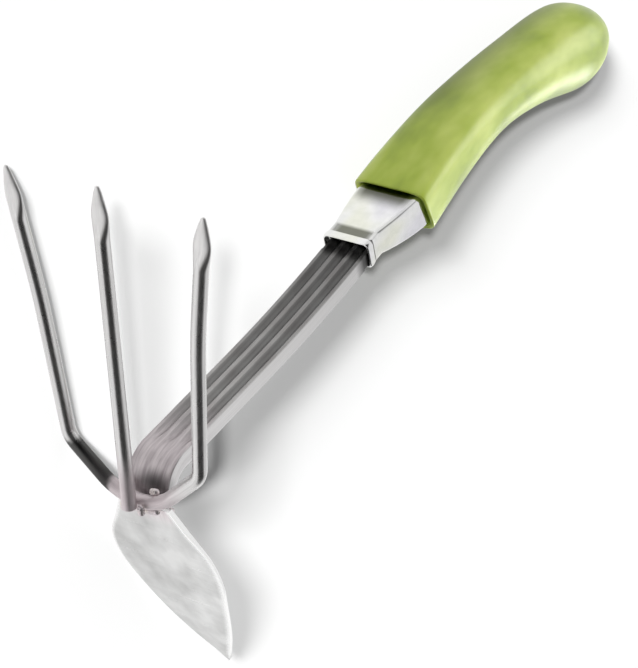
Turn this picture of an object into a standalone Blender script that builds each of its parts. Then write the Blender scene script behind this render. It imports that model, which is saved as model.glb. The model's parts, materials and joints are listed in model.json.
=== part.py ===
"""Hand hoe and three-prong cultivator: a fluted flat bar whose head end is bent down,
a leaf blade and three rod tines welded to that leg, and a green handle on a ferrule.

Every piece is modelled in the tool's own axes, in metres: X runs along the bar from the
head to the butt, Y points to the far side and Z is the way the tines point. The bar's top
face is Z = 0 and its head end is about X = 0. The empty tool_rest then lays the whole tool
on its side, on the tip of one outer tine, the edge of the blade and the side of the handle.
"""
import math

import bmesh
import bpy
import numpy as np
from mathutils import Matrix, Vector

# Clearance between pieces that touch or are welded together
GAP = 0.0003

# Bar
BAR_WIDTH = 0.0182
BAR_THICKNESS = 0.0058
BAR_REACH = 0.127
BAR_EDGE = 0.0004
CURVE_START = 0.060
CURVE_END = 0.122
REAR_SLOPE = 0.10
SEAT_STEP = 0.00025
SEAT_REACH = 0.003
NECK_RADIUS = 0.014
NECK_INNER_RADIUS = 0.0085
LEG_DEPTH = 0.022
LEG_FRONT = -0.0028
LEG_END_THICKNESS = 0.0036
LEG_FRONT_EDGE = 0.0006
LEG_BACK_EDGE = 0.0012
LEG_TAPER_TOP = -0.0095
LEG_FOOT_WIDTH = 0.010
FLUTE_COUNT = 3
FLUTE_PITCH = 0.0056
FLUTE_RADIUS = 0.0026
FLUTE_DEPTH = 0.0009
FLUTE_START = 0.012
FLUTE_RUNOUT = 0.006
FLUTE_OVERRUN = 0.003

# Tang, which follows the handle's rise
TANG_LENGTH = 0.072
TANG_WIDTH = 0.010
TANG_THICKNESS = 0.0044
TANG_ROOT = 0.002
TANG_RISE = math.radians(4.0)
PIN_DIAMETER = 0.003
PIN_PLACE = 0.045
PIN_SPAN = 0.020

# Blade
BLADE_LENGTH = 0.0965
BLADE_THICKNESS = 0.0020
BLADE_TOP = -0.0136
BLADE_LAP = 0.012
BLADE_LEAN = math.radians(6.5)
BLADE_TIP_LEAN = math.radians(22.0)
BLADE_DISH = 0.0006
BLADE_NECK_WIDTH = 0.0216
BLADE_SHOULDER_WIDTH = 0.0310
BLADE_UPPER_WIDTH = 0.0430
BLADE_WIDEST = 0.0446
BLADE_MIDDLE_WIDTH = 0.0382
BLADE_LOWER_WIDTH = 0.0184
BLADE_TIP_ROUND = 0.0040

# Tines
ROD_DIAMETER = 0.0052
TINE_LEAN = math.radians(9.1)
CENTER_LEAN = math.radians(10.6)
CROTCH_HEIGHT = -0.0105
CROTCH_RADIUS = 0.022
CROTCH_SLOPE = math.radians(42.0)
TINE_BEND_RADIUS = 0.009
TINE_SPREAD_BASE = 0.0279
TINE_SPREAD_MIDDLE = 0.0330
TINE_SPREAD_TIP = 0.0406
TINE_MIDDLE_HEIGHT = 0.060
TINE_SWEEP_RADIUS = 0.300
OUTER_TIP_HEIGHT = 0.1067
CENTER_TIP_HEIGHT = 0.1098
CENTER_FOOT = -0.0005
SPEAR_LENGTH = 0.019
SPEAR_WIDTH = 0.0072
SPEAR_THICKNESS = 0.0026
SPEAR_POINT_WIDTH = 0.0008
SPEAR_POINT_THICKNESS = 0.0010

# Weld beads
BEAD_RADIUS = 0.0010
BEAD_REACH = 0.0035
FRONT_BEAD_RADIUS = 0.0008

# Ferrule and its collar
FERRULE_WALL = 0.0006
FERRULE_TOP = 0.0037
FERRULE_TOP_CORNER = 0.0024
FERRULE_BOTTOM_CORNER = 0.0014
FERRULE_FRONT_WIDTH = 0.0200
COLLAR_LENGTH = 0.0032
COLLAR_ROLL = 0.0003
GROOVE_LENGTH = 0.0045
GROOVE_DEPTH = 0.0010
FERRULE_INSERT = 0.005
FERRULE_REAR_WIDTH = 0.0274
FERRULE_REAR_TOP = 0.0024
FERRULE_REAR_BOTTOM = -0.0116
FERRULE_FLARE = 1.4
GROOVE_RISE = 0.0008
NOSE_RECESS = 0.013
NOSE_ROOT = 0.006

# Handle
MOUTH_PLACE = 0.159
MOUTH_HEIGHT = 0.0014
GRIP_WALL = 0.0016
HANDLE_LENGTH = 0.1525
DOME_LENGTH = 0.031
DOME_POWER = 2.0
MOUTH_HEADING = math.radians(-12.3)
WAIST_HEADING = math.radians(-5.2)
MIDDLE_HEADING = math.radians(8.4)
PALM_HEADING = math.radians(15.8)
BUTT_HEADING = math.radians(32.2)
MOUTH_WIDTH = 0.0318
WAIST_WIDTH = 0.0286
PALM_WIDTH = 0.0293
BUTT_WIDTH = 0.0322
MOUTH_THICKNESS = 0.0204
WAIST_THICKNESS = 0.0236
PALM_THICKNESS = 0.0289
BUTT_THICKNESS = 0.0356
BUTT_END_THICKNESS = 0.0332
MOUTH_SQUARENESS = 6.0
NECK_SQUARENESS = 4.2
BODY_SQUARENESS = 2.9
BUTT_SQUARENESS = 2.2

# Mesh resolution
ROD_SIDES = 14
HANDLE_SIDES = 32
GRIP_RINGS = 38
CORE_RINGS = 36
DOME_RINGS = 14
CORNER_STEPS = 5
CURVE_STEPS = 12
FLUTE_RESOLUTION = 7


def smooth_curve(stations, values, at):
    """Cubic through the values, with the slope at each station taken from its neighbours."""
    stations, values, at = (np.asarray(v, dtype=float) for v in (stations, values, at))
    slopes = np.gradient(values, stations)
    k = np.clip(np.searchsorted(stations, at, side="right") - 1, 0, len(stations) - 2)
    span = stations[k + 1] - stations[k]
    t = (at - stations[k]) / span
    return ((2 * t**3 - 3 * t**2 + 1) * values[k] + (t**3 - 2 * t**2 + t) * span * slopes[k]
            + (3 * t**2 - 2 * t**3) * values[k + 1] + (t**3 - t**2) * span * slopes[k + 1])


def rounded_path(corners, radii, closed=False, step=math.radians(9)):
    """Polyline through the corners, each turned with an arc of its own radius."""
    points = []
    count = len(corners)
    for i, (corner, radius) in enumerate(zip(corners, radii)):
        corner = Vector(corner)
        if not closed and i in (0, count - 1):
            points.append(corner)
            continue
        back = (Vector(corners[i - 1]) - corner).normalized()
        ahead = (Vector(corners[(i + 1) % count]) - corner).normalized()
        half_turn = (math.pi - back.angle(ahead)) / 2
        if radius <= 0 or half_turn < 1e-4:
            points.append(corner)
            continue
        centre = corner + (back + ahead).normalized() * (radius / math.cos(half_turn))
        start = corner + back * (radius * math.tan(half_turn)) - centre
        end = corner + ahead * (radius * math.tan(half_turn)) - centre
        first = math.atan2(start.y, start.x)
        sweep = math.copysign(2 * half_turn, start.x * end.y - start.y * end.x)
        steps = max(2, math.ceil(2 * half_turn / step))
        for j in range(steps + 1):
            angle = first + sweep * j / steps
            points.append(centre + radius * Vector((math.cos(angle), math.sin(angle))))
    return points


def new_collection(name):
    collection = bpy.data.collections.new(name)
    bpy.context.scene.collection.children.link(collection)
    return collection


def principled(name, colour, roughness, metallic, coat=0.0):
    """Material of one finish."""
    material = bpy.data.materials.new(name)
    material.use_nodes = True
    shader = material.node_tree.nodes["Principled BSDF"]
    shader.inputs["Base Color"].default_value = (*colour, 1.0)
    shader.inputs["Roughness"].default_value = roughness
    shader.inputs["Metallic"].default_value = metallic
    shader.inputs["Coat Weight"].default_value = coat
    material.diffuse_color = (*colour, 1.0)
    return material


def add_object(name, mesh, collection, material=None):
    obj = bpy.data.objects.new(name, mesh)
    collection.objects.link(obj)
    if material:
        mesh.materials.append(material)
    return obj


def add_cutter(name, mesh):
    cutter = add_object(name, mesh, cutters)
    cutter.hide_render = True
    cutter.display_type = "WIRE"
    return cutter


def boolean(obj, cutter, operation):
    modifier = obj.modifiers.new(cutter.name, "BOOLEAN")
    modifier.operation = operation
    modifier.object = cutter
    modifier.solver = "EXACT"


def curve_mesh(curve, placement):
    """Mesh of a curve, with its loose caps welded and its own axes turned by placement."""
    guide = bpy.data.objects.new(curve.name, curve)
    bpy.context.scene.collection.objects.link(guide)
    bpy.context.view_layer.update()
    evaluated = guide.evaluated_get(bpy.context.evaluated_depsgraph_get())
    mesh = bpy.data.meshes.new_from_object(evaluated)
    bpy.data.objects.remove(guide)
    bpy.data.curves.remove(curve)
    work = bmesh.new()
    work.from_mesh(mesh)
    bmesh.ops.remove_doubles(work, verts=work.verts, dist=1e-6)
    bmesh.ops.transform(work, matrix=placement, verts=work.verts)
    bmesh.ops.recalc_face_normals(work, faces=work.faces)
    work.to_mesh(mesh)
    work.free()
    return mesh


def outline_mesh(name, outline, depth, placement):
    """Flat outline in the curve's own X and Y, filled and as thick as depth."""
    curve = bpy.data.curves.new(name, "CURVE")
    curve.dimensions = "2D"
    curve.fill_mode = "BOTH"
    curve.extrude = depth / 2
    spline = curve.splines.new("POLY")
    spline.points.add(len(outline) - 1)
    for point, place in zip(spline.points, outline):
        point.co = (place[0], place[1], 0, 1)
    spline.use_cyclic_u = True
    return curve_mesh(curve, placement)


def tube_mesh(name, places, radius, resolution=2):
    """Round tube along the places, with filled ends."""
    curve = bpy.data.curves.new(name, "CURVE")
    curve.dimensions = "3D"
    curve.bevel_depth = radius
    curve.bevel_resolution = resolution
    curve.use_fill_caps = True
    spline = curve.splines.new("POLY")
    spline.points.add(len(places) - 1)
    for point, place in zip(spline.points, places):
        point.co = (*place, 1)
    return curve_mesh(curve, Matrix.Identity(4))


def loft_mesh(name, rings, cap_start=False, cap_end=False):
    """Surface through rings of equally many points, with a pole at each capped end."""
    rings = [[Vector(point) for point in ring] for ring in rings]
    work = bmesh.new()
    rows = [[work.verts.new(point) for point in ring] for ring in rings]
    count = len(rows[0])
    for low, high in zip(rows[:-1], rows[1:]):
        for i in range(count):
            j = (i + 1) % count
            work.faces.new((low[i], low[j], high[j], high[i]))
    if cap_start:
        pole = work.verts.new(sum(rings[0], Vector()) / count)
        for i in range(count):
            work.faces.new((pole, rows[0][(i + 1) % count], rows[0][i]))
    if cap_end:
        pole = work.verts.new(sum(rings[-1], Vector()) / count)
        for i in range(count):
            work.faces.new((pole, rows[-1][i], rows[-1][(i + 1) % count]))
    mesh = bpy.data.meshes.new(name)
    work.to_mesh(mesh)
    work.free()
    mesh.shade_smooth()
    mesh.set_sharp_from_angle(angle=math.radians(40))
    return mesh


def solidify(obj, wall):
    """Wall grown inwards from the open outer surface."""
    modifier = obj.modifiers.new("wall", "SOLIDIFY")
    modifier.thickness = wall
    modifier.offset = -1
    modifier.use_even_offset = True
    modifier.use_rim = True


# The side view of the bar is drawn in X and Z, and its plan in X and Y
SIDE_VIEW = Matrix.Rotation(math.pi / 2, 4, "X")
PLAN_VIEW = Matrix.Identity(4)
NOSE_PLACE = BAR_REACH + NOSE_RECESS
SHOULDER = NOSE_PLACE - GAP


def bar_lift(x):
    """Height of the bar's top face at a place along it, where it curves up to the handle."""
    reach = CURVE_END - CURVE_START
    t = np.clip((x - CURVE_START) / reach, 0, 1)
    return float(REAR_SLOPE * (reach * t * t / 2 + max(x - CURVE_END, 0)))


def leg_front(z):
    """X of the leg's front face at a height."""
    return LEG_FRONT + (z - BLADE_TOP) * -math.tan(BLADE_LEAN)


def tang_outline(clearance):
    """Side view of the tang, from inside the bar to its end."""
    along = Vector((math.cos(TANG_RISE), math.sin(TANG_RISE)))
    across = Vector((-along.y, along.x)) * (TANG_THICKNESS / 2 + clearance)
    root = Vector((SHOULDER, bar_lift(SHOULDER) - BAR_THICKNESS / 2))
    start = root - along * (TANG_ROOT + clearance)
    end = root + along * (TANG_LENGTH + clearance)
    return [start - across, end - across, end + across, start + across]


def pin_centre():
    root = bar_lift(SHOULDER) - BAR_THICKNESS / 2
    return Vector((SHOULDER + PIN_PLACE * math.cos(TANG_RISE), 0,
                   root + PIN_PLACE * math.sin(TANG_RISE)))


def pin_mesh(name, radius, span):
    """Cylinder across the handle at the tang's hole."""
    work = bmesh.new()
    bmesh.ops.create_cone(work, cap_ends=True, segments=16, radius1=radius, radius2=radius,
                          depth=span, matrix=Matrix.Translation(pin_centre()) @ SIDE_VIEW)
    mesh = bpy.data.meshes.new(name)
    work.to_mesh(mesh)
    work.free()
    return mesh


def bar_steps():
    """Places along the bar's upward curve."""
    return list(np.linspace(CURVE_START, CURVE_END, CURVE_STEPS + 1)[1:])


def flute_mesh():
    """Round bars side by side along the top face, which run out towards the head."""
    work = bmesh.new()
    start = FLUTE_START + FLUTE_RUNOUT
    along = [FLUTE_START, start, CURVE_START] + bar_steps() + [SHOULDER + FLUTE_OVERRUN]
    for i in range(FLUTE_COUNT):
        y = (i - (FLUTE_COUNT - 1) / 2) * FLUTE_PITCH
        places = [(x, y, bar_lift(x) + FLUTE_RADIUS - FLUTE_DEPTH * (x >= start)) for x in along]
        flute = tube_mesh("flute", places, FLUTE_RADIUS, FLUTE_RESOLUTION)
        work.from_mesh(flute)
        bpy.data.meshes.remove(flute)
    mesh = bpy.data.meshes.new("flutes")
    work.to_mesh(mesh)
    work.free()
    return mesh


def seat_mesh():
    """Trough round the bar's sides and underside, which takes it down to its seat."""
    low, side, far = -BAR_THICKNESS + SEAT_STEP, BAR_WIDTH / 2 - SEAT_STEP, BAR_WIDTH
    outline = [(-far, -far), (far, -far), (far, far), (side, far), (side, low),
               (-side, low), (-side, far), (-far, far)]
    reach = NOSE_RECESS + SEAT_REACH + 0.001
    middle = BAR_REACH - SEAT_REACH + reach / 2
    end_view = Matrix(((0, 0, 1, middle), (1, 0, 0, 0), (0, 1, REAR_SLOPE, bar_lift(middle)),
                       (0, 0, 0, 1)))
    return outline_mesh("seat", outline, reach, end_view)


def leg_half_width(z):
    """Half width of the leg, which narrows behind the blade."""
    share = np.clip((z - LEG_TAPER_TOP) / (-LEG_DEPTH - LEG_TAPER_TOP), 0, 1)
    return float(BAR_WIDTH / 2 + (LEG_FOOT_WIDTH - BAR_WIDTH) / 2 * share)


def foot_mesh():
    """Plate with a tapering notch, which leaves the narrowing foot of the leg."""
    slope = (BAR_WIDTH - LEG_FOOT_WIDTH) / 2 / (LEG_DEPTH + LEG_TAPER_TOP)
    spare, far = 0.002, BAR_WIDTH
    top, wide = LEG_TAPER_TOP + spare, BAR_WIDTH / 2 + slope * spare
    low, narrow = -LEG_DEPTH - spare, LEG_FOOT_WIDTH / 2 - slope * spare
    outline = [(far, top), (wide, top), (narrow, low), (-narrow, low), (-wide, top), (-far, top),
               (-far, low - spare), (far, low - spare)]
    front_view = Matrix(((0, 0, 1, 0), (1, 0, 0, 0), (0, 1, 0, 0), (0, 0, 0, 1)))
    return outline_mesh("foot_taper", outline, BAR_REACH / 2, front_view)


def make_bar(material):
    """Bar with its bent leg, its seat and its tang, cut from a side view and a plan."""
    foot = -LEG_DEPTH
    back_of_foot = leg_front(foot) + LEG_END_THICKNESS
    back_of_neck = leg_front(-BAR_THICKNESS) + BAR_THICKNESS
    curve = [CURVE_START] + bar_steps() + [SHOULDER]
    top = [(x, bar_lift(x)) for x in reversed(curve)]
    under = [(x, bar_lift(x) - BAR_THICKNESS) for x in curve]
    side = rounded_path(
        top + [(leg_front(0), 0), (leg_front(foot), foot), (back_of_foot, foot),
               (back_of_neck, -BAR_THICKNESS)] + under,
        [0] * len(top) + [NECK_RADIUS, LEG_FRONT_EDGE, LEG_BACK_EDGE, NECK_INNER_RADIUS]
        + [0] * len(under), closed=True)
    bar = add_object("shaft", outline_mesh("shaft", side, BAR_WIDTH, SIDE_VIEW), parts, material)
    bevel = bar.modifiers.new("edges", "BEVEL")
    bevel.width = BAR_EDGE
    bevel.segments = 2
    bevel.limit_method = "ANGLE"
    bevel.angle_limit = math.radians(50)
    tang = add_cutter("tang", outline_mesh("tang", tang_outline(0), TANG_WIDTH, SIDE_VIEW))
    boolean(bar, add_cutter("seat", seat_mesh()), "DIFFERENCE")
    boolean(bar, add_cutter("foot_taper", foot_mesh()), "DIFFERENCE")
    boolean(bar, add_cutter("flutes", flute_mesh()), "DIFFERENCE")
    boolean(bar, tang, "UNION")
    boolean(bar, add_cutter("tang_hole", pin_mesh("tang_hole", PIN_DIAMETER / 2 + GAP, 0.030)),
            "DIFFERENCE")
    return bar


def blade_line(s):
    """X and Z of the blade's middle surface at a distance from its top edge."""
    steps = np.linspace(0, 1, 200)[:, None] * s[None, :]
    bend = np.clip((steps - BLADE_LAP) / (BLADE_LENGTH - BLADE_LAP), 0, 1)
    lean = BLADE_LEAN + (BLADE_TIP_LEAN - BLADE_LEAN) * bend
    offset = (BLADE_THICKNESS / 2 + GAP) / math.cos(BLADE_LEAN)
    x = leg_front(BLADE_TOP) - offset + np.mean(np.sin(lean), axis=0) * s
    z = BLADE_TOP - np.mean(np.cos(lean), axis=0) * s
    return x, z


def blade_half_width(s):
    """Half of the leaf's width at a distance from its top edge."""
    stations = np.array([0, 0.10, 0.22, 0.36, 0.50, 0.80, 1.0]) * BLADE_LENGTH
    widths = [BLADE_NECK_WIDTH, BLADE_SHOULDER_WIDTH, BLADE_UPPER_WIDTH, BLADE_WIDEST,
              BLADE_MIDDLE_WIDTH, BLADE_LOWER_WIDTH, 0]
    point = np.sqrt(np.clip((BLADE_LENGTH - s) / BLADE_TIP_ROUND, 0, 1))
    return np.maximum(smooth_curve(stations, widths, s), 0) / 2 * point


def make_blade(material):
    """Leaf-shaped plate, bent towards the handle and slightly dished."""
    rows = BLADE_LENGTH * (1 - (1 - np.linspace(0, 1, 34)) ** 1.25)
    across = np.linspace(-1, 1, 13)
    x, z = blade_line(rows)
    half = blade_half_width(rows)
    work = bmesh.new()
    grid = []
    for i in range(len(rows) - 1):
        line = []
        for v in across:
            dish = BLADE_DISH * (v * half[i] / (BLADE_WIDEST / 2)) ** 2
            line.append(work.verts.new((x[i] - dish, v * half[i], z[i])))
        grid.append(line)
    for top, low in zip(grid[:-1], grid[1:]):
        for j in range(len(across) - 1):
            work.faces.new((top[j], top[j + 1], low[j + 1], low[j]))
    tip = work.verts.new((x[-1], 0, z[-1]))
    for j in range(len(across) - 1):
        work.faces.new((grid[-1][j], grid[-1][j + 1], tip))
    mesh = bpy.data.meshes.new("blade")
    work.to_mesh(mesh)
    work.free()
    mesh.shade_smooth()
    blade = add_object("blade", mesh, parts, material)
    modifier = blade.modifiers.new("wall", "SOLIDIFY")
    modifier.thickness = BLADE_THICKNESS
    modifier.offset = 0
    modifier.use_even_offset = False
    return blade


# The bottom of the outer rod crosses in front of the leg and clears its side edges
ROD = ROD_DIAMETER / 2
CROSSING_RISE = CROTCH_RADIUS - math.sqrt(CROTCH_RADIUS**2 - (BAR_WIDTH / 2) ** 2)
CROSSING_X = (leg_front(CROTCH_HEIGHT + CROSSING_RISE)
              - (ROD + GAP) / math.cos(BLADE_LEAN) - CROSSING_RISE * math.tan(TINE_LEAN))
CENTER_X = CROSSING_X - (2 * ROD + GAP) / math.cos((TINE_LEAN + CENTER_LEAN) / 2)


def tine_point(y, z):
    """Point of the outer rod's leaning plane at a side distance and a height."""
    return Vector((CROSSING_X + (z - CROTCH_HEIGHT) * math.tan(TINE_LEAN), y, z))


def outer_path():
    """Centre line of the outer rod, from the far tip round the crotch to the near tip."""
    base_height = (CROTCH_HEIGHT - CROTCH_RADIUS * (1 / math.cos(CROTCH_SLOPE) - 1)
                   + TINE_SPREAD_BASE * math.tan(CROTCH_SLOPE))
    low = base_height - TINE_SPREAD_BASE * math.tan(CROTCH_SLOPE)
    side = [(TINE_SPREAD_TIP, OUTER_TIP_HEIGHT), (TINE_SPREAD_MIDDLE, TINE_MIDDLE_HEIGHT),
            (TINE_SPREAD_BASE, base_height)]
    corners = side + [(0, low)] + [(-y, z) for y, z in reversed(side)]
    radii = [0, TINE_SWEEP_RADIUS, TINE_BEND_RADIUS, CROTCH_RADIUS]
    flat = rounded_path(corners, radii + radii[2::-1], step=math.radians(10))
    return [tine_point(*point) for point in flat]


def refine(path, longest=0.006):
    """The same path with points added where they lie far apart."""
    points = [path[0]]
    for point in path[1:]:
        pieces = max(1, math.ceil((point - points[-1]).length / longest))
        start = points[-1]
        for k in range(1, pieces + 1):
            points.append(start.lerp(point, k / pieces))
    return points


def spear_section(distance):
    """Half width and half thickness of a rod at a distance from its pointed end."""
    t = np.clip(distance / SPEAR_LENGTH, 0, 1)
    wide = smooth_curve([0, 0.22, 0.55, 0.80, 1], [SPEAR_POINT_WIDTH, 0.60 * SPEAR_WIDTH, SPEAR_WIDTH,
                                                   0.92 * SPEAR_WIDTH, ROD_DIAMETER], t)
    thick = smooth_curve([0, 0.30, 0.60, 1], [SPEAR_POINT_THICKNESS, 0.9 * SPEAR_THICKNESS,
                                              SPEAR_THICKNESS, ROD_DIAMETER], t)
    return wide / 2, thick / 2


def rod_mesh(name, path, normal, pointed):
    """Rod swept along a flat path, forged to a spear at each pointed end."""
    places = np.array([tuple(p) for p in refine(path)])
    tangents = np.gradient(places, axis=0)
    tangents /= np.linalg.norm(tangents, axis=1)[:, None]
    normal = np.array(normal)
    sideways = np.cross(tangents, normal)
    run = np.concatenate([[0], np.cumsum(np.linalg.norm(np.diff(places, axis=0), axis=1))])
    far = np.full(len(run), 1.0)
    start = run if pointed[0] else far
    end = run[-1] - run if pointed[1] else far
    wide, thick = spear_section(np.minimum(start, end))
    angle = np.linspace(0, 2 * math.pi, ROD_SIDES, endpoint=False)
    rings = (places[:, None, :] + np.cos(angle)[None, :, None] * (wide[:, None] * sideways)[:, None, :]
             + np.sin(angle)[None, :, None] * thick[:, None, None] * normal[None, None, :])
    return loft_mesh(name, rings[:, ::-1], cap_start=True, cap_end=True)


def make_outer_tines(material):
    normal = (-math.cos(TINE_LEAN), 0, math.sin(TINE_LEAN))
    path = spear_ends(outer_path(), both=True)
    return add_object("outer_tines", rod_mesh("outer_tines", path, normal, (True, True)), parts, material)


def spear_ends(path, both):
    """Close points over each spear, where the section changes fast."""
    steps = [i / 10 * SPEAR_LENGTH for i in range(1, 11)]
    toward = (path[1] - path[0]).normalized()
    path = path[:1] + [path[0] + toward * s for s in steps] + path[1:]
    if both:
        toward = (path[-2] - path[-1]).normalized()
        path = path[:-1] + [path[-1] + toward * s for s in reversed(steps)] + path[-1:]
    return path


def center_point(height):
    """Point of the centre tine's axis at a height."""
    return Vector((CENTER_X + (height - CROTCH_HEIGHT) * math.tan(CENTER_LEAN), 0, height))


def make_center_tine(material):
    """Straight rod in front of the crotch."""
    ends = [center_point(CENTER_TIP_HEIGHT), center_point(CROTCH_HEIGHT - CENTER_FOOT)]
    path = spear_ends(ends, both=False)
    normal = (-math.cos(CENTER_LEAN), 0, math.sin(CENTER_LEAN))
    return add_object("center_tine", rod_mesh("center_tine", path, normal, (True, False)), parts, material)


def crotch_point(y):
    """Point of the outer rod's axis on the round of the crotch."""
    rise = CROTCH_RADIUS - math.sqrt(CROTCH_RADIUS**2 - y**2)
    return tine_point(y, CROTCH_HEIGHT + rise)


def corner_offset(radius, distance):
    """How far along a plane a bead lies from a rod whose axis is at a distance from the plane."""
    reach = ROD + GAP + radius
    return math.sqrt(reach**2 - (distance - GAP - radius) ** 2)


# Directions down the leg and out of its front face
LEG_DOWN = Vector((math.sin(BLADE_LEAN), 0, -math.cos(BLADE_LEAN)))
LEG_OUT = Vector((-math.cos(BLADE_LEAN), 0, -math.sin(BLADE_LEAN)))


def leg_distance(point):
    """Distance of a point in front of the leg's front face."""
    return (point - Vector((LEG_FRONT, 0, BLADE_TOP))).dot(LEG_OUT)


def make_tine_weld(name, side, material):
    """Short bead over the rod, at one side edge of the leg."""
    outer = BAR_WIDTH / 2 - BEAD_RADIUS
    places = []
    for y in np.linspace(outer - BEAD_REACH, outer, 5):
        axis = crotch_point(side * float(y))
        distance = leg_distance(axis)
        foot = axis - LEG_OUT * (distance - GAP - BEAD_RADIUS)
        places.append(foot - LEG_DOWN * corner_offset(BEAD_RADIUS, distance))
    return add_object(name, tube_mesh(name, places, BEAD_RADIUS), parts, material)


def make_front_weld(material):
    """Bead under the rod, along the blade's top edge."""
    face = 2 * GAP + BLADE_THICKNESS
    places = []
    for y in np.linspace(-1, 1, 9) * (BAR_WIDTH / 2 - BEAD_RADIUS):
        axis = crotch_point(float(y))
        distance = leg_distance(axis) - face
        forward = GAP + FRONT_BEAD_RADIUS + BLADE_DISH / 2
        reach = ROD + GAP + FRONT_BEAD_RADIUS
        down = math.sqrt(reach**2 - (distance - forward) ** 2)
        places.append(axis - LEG_OUT * (distance - forward) + LEG_DOWN * down)
    return add_object("blade_weld_front", tube_mesh("blade_weld_front", places, FRONT_BEAD_RADIUS),
                      parts, material)


def make_blade_weld(name, side, material):
    """Bead behind the blade, along one side of the leg."""
    top, low = 2 * BEAD_RADIUS, LEG_DEPTH + BLADE_TOP - BEAD_RADIUS
    start = Vector((LEG_FRONT, 0, BLADE_TOP)) - LEG_OUT * BEAD_RADIUS
    places = []
    for s in np.linspace(top, low, 4):
        place = start + LEG_DOWN * s
        place.y = side * (leg_half_width(place.z) + 2 * GAP + BEAD_RADIUS)
        places.append(place)
    return add_object(name, tube_mesh(name, places, BEAD_RADIUS), parts, material)


def make_center_weld(name, side, material):
    """Bead beside the centre tine, in front of the outer rod."""
    reach = ROD + GAP + BEAD_RADIUS
    forward = 2 * ROD + GAP - reach
    y = math.sqrt(reach**2 - forward**2) + GAP / 2
    up = Vector((math.sin(CENTER_LEAN), 0, math.cos(CENTER_LEAN)))
    out = Vector((-up.z, 0, up.x))
    rise = CROTCH_RADIUS - math.sqrt(CROTCH_RADIUS**2 - y**2)
    middle = center_point(CROTCH_HEIGHT + rise) - out * forward + out * GAP
    places = [middle + up * s + Vector((0, side * y, 0)) for s in (-0.002, 0, 0.002)]
    return add_object(name, tube_mesh(name, places, BEAD_RADIUS), parts, material)


def rounded_section(x, half_width, top, bottom, inset=0.0):
    """Rounded rectangle round the bar at a place along it, drawn in by an inset."""
    high, low = FERRULE_TOP_CORNER, FERRULE_BOTTOM_CORNER
    top, bottom = top + bar_lift(x), bottom + bar_lift(x)
    centres = [(half_width - high, top - high, high), (high - half_width, top - high, high),
               (low - half_width, bottom + low, low), (half_width - low, bottom + low, low)]
    ring = []
    for quarter, (cy, cz, radius) in enumerate(centres):
        corner = radius - inset
        for k in range(CORNER_STEPS + 1):
            a = (quarter + k / CORNER_STEPS) * math.pi / 2
            ring.append((x, cy + corner * math.cos(a), cz + corner * math.sin(a)))
    return ring


# Outer sizes of the ferrule at its front, whose floor lies under the bar's seat
FRONT_HALF = FERRULE_FRONT_WIDTH / 2
FRONT_BOTTOM = -(BAR_THICKNESS - SEAT_STEP + GAP + FERRULE_WALL)
GROOVE_START = BAR_REACH + COLLAR_LENGTH + GAP
GROOVE_END = GROOVE_START + GROOVE_LENGTH
FERRULE_END = MOUTH_PLACE + FERRULE_INSERT
FERRULE_PLACES = list(np.linspace(GROOVE_END, MOUTH_PLACE, 9)) + [FERRULE_END]


def ferrule_section(x, inset=0.0):
    """Outer section of the ferrule's body, or the same drawn in by an inset."""
    t = float(np.clip((x - GROOVE_END) / (MOUTH_PLACE - GROOVE_END), 0, 1))
    ease = FERRULE_FLARE * t + (1 - FERRULE_FLARE) * t * t
    half = FRONT_HALF + (FERRULE_REAR_WIDTH / 2 - FRONT_HALF) * ease
    top = FERRULE_TOP + (FERRULE_REAR_TOP - FERRULE_TOP) * ease
    bottom = FRONT_BOTTOM + (FERRULE_REAR_BOTTOM - FRONT_BOTTOM) * ease
    return rounded_section(x, half, top, bottom, inset)


def make_collar(material):
    """Rolled ring in front of the ferrule."""
    rings = []
    for share, draw in ((0, 1), (0.12, 0.3), (0.3, 0), (0.7, 0), (0.88, 0.3), (1, 1)):
        drawn = COLLAR_ROLL * (1 - draw)
        rings.append(rounded_section(BAR_REACH + share * COLLAR_LENGTH, FRONT_HALF, FERRULE_TOP,
                                     FRONT_BOTTOM, -drawn))
    collar = add_object("ferrule_collar", loft_mesh("ferrule_collar", rings), parts, material)
    solidify(collar, FERRULE_WALL)
    return collar


def make_ferrule(material):
    """Flaring sleeve with a groove pressed across its top."""
    floor = FERRULE_TOP - GROOVE_DEPTH
    rings = [rounded_section(x, FRONT_HALF, floor, FRONT_BOTTOM)
             for x in (GROOVE_START, GROOVE_END - GROOVE_RISE)]
    rings += [ferrule_section(x) for x in FERRULE_PLACES]
    ferrule = add_object("ferrule", loft_mesh("ferrule", rings), parts, material)
    solidify(ferrule, FERRULE_WALL)
    return ferrule


def handle_line(s):
    """X, Z and heading of the handle's centre line at a distance from its mouth."""
    headings = [MOUTH_HEADING, WAIST_HEADING, MIDDLE_HEADING, PALM_HEADING, BUTT_HEADING]
    stations = np.linspace(0, HANDLE_LENGTH, len(headings))
    fine = np.linspace(0, HANDLE_LENGTH, 400)
    heading = smooth_curve(stations, headings, fine)
    step = fine[1]
    x = np.concatenate([[0], np.cumsum(np.cos((heading[1:] + heading[:-1]) / 2) * step)])
    z = np.concatenate([[0], np.cumsum(np.sin((heading[1:] + heading[:-1]) / 2) * step)])
    return (MOUTH_PLACE + np.interp(s, fine, x), MOUTH_HEIGHT - np.interp(s, fine, z),
            smooth_curve(stations, headings, s))


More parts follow.
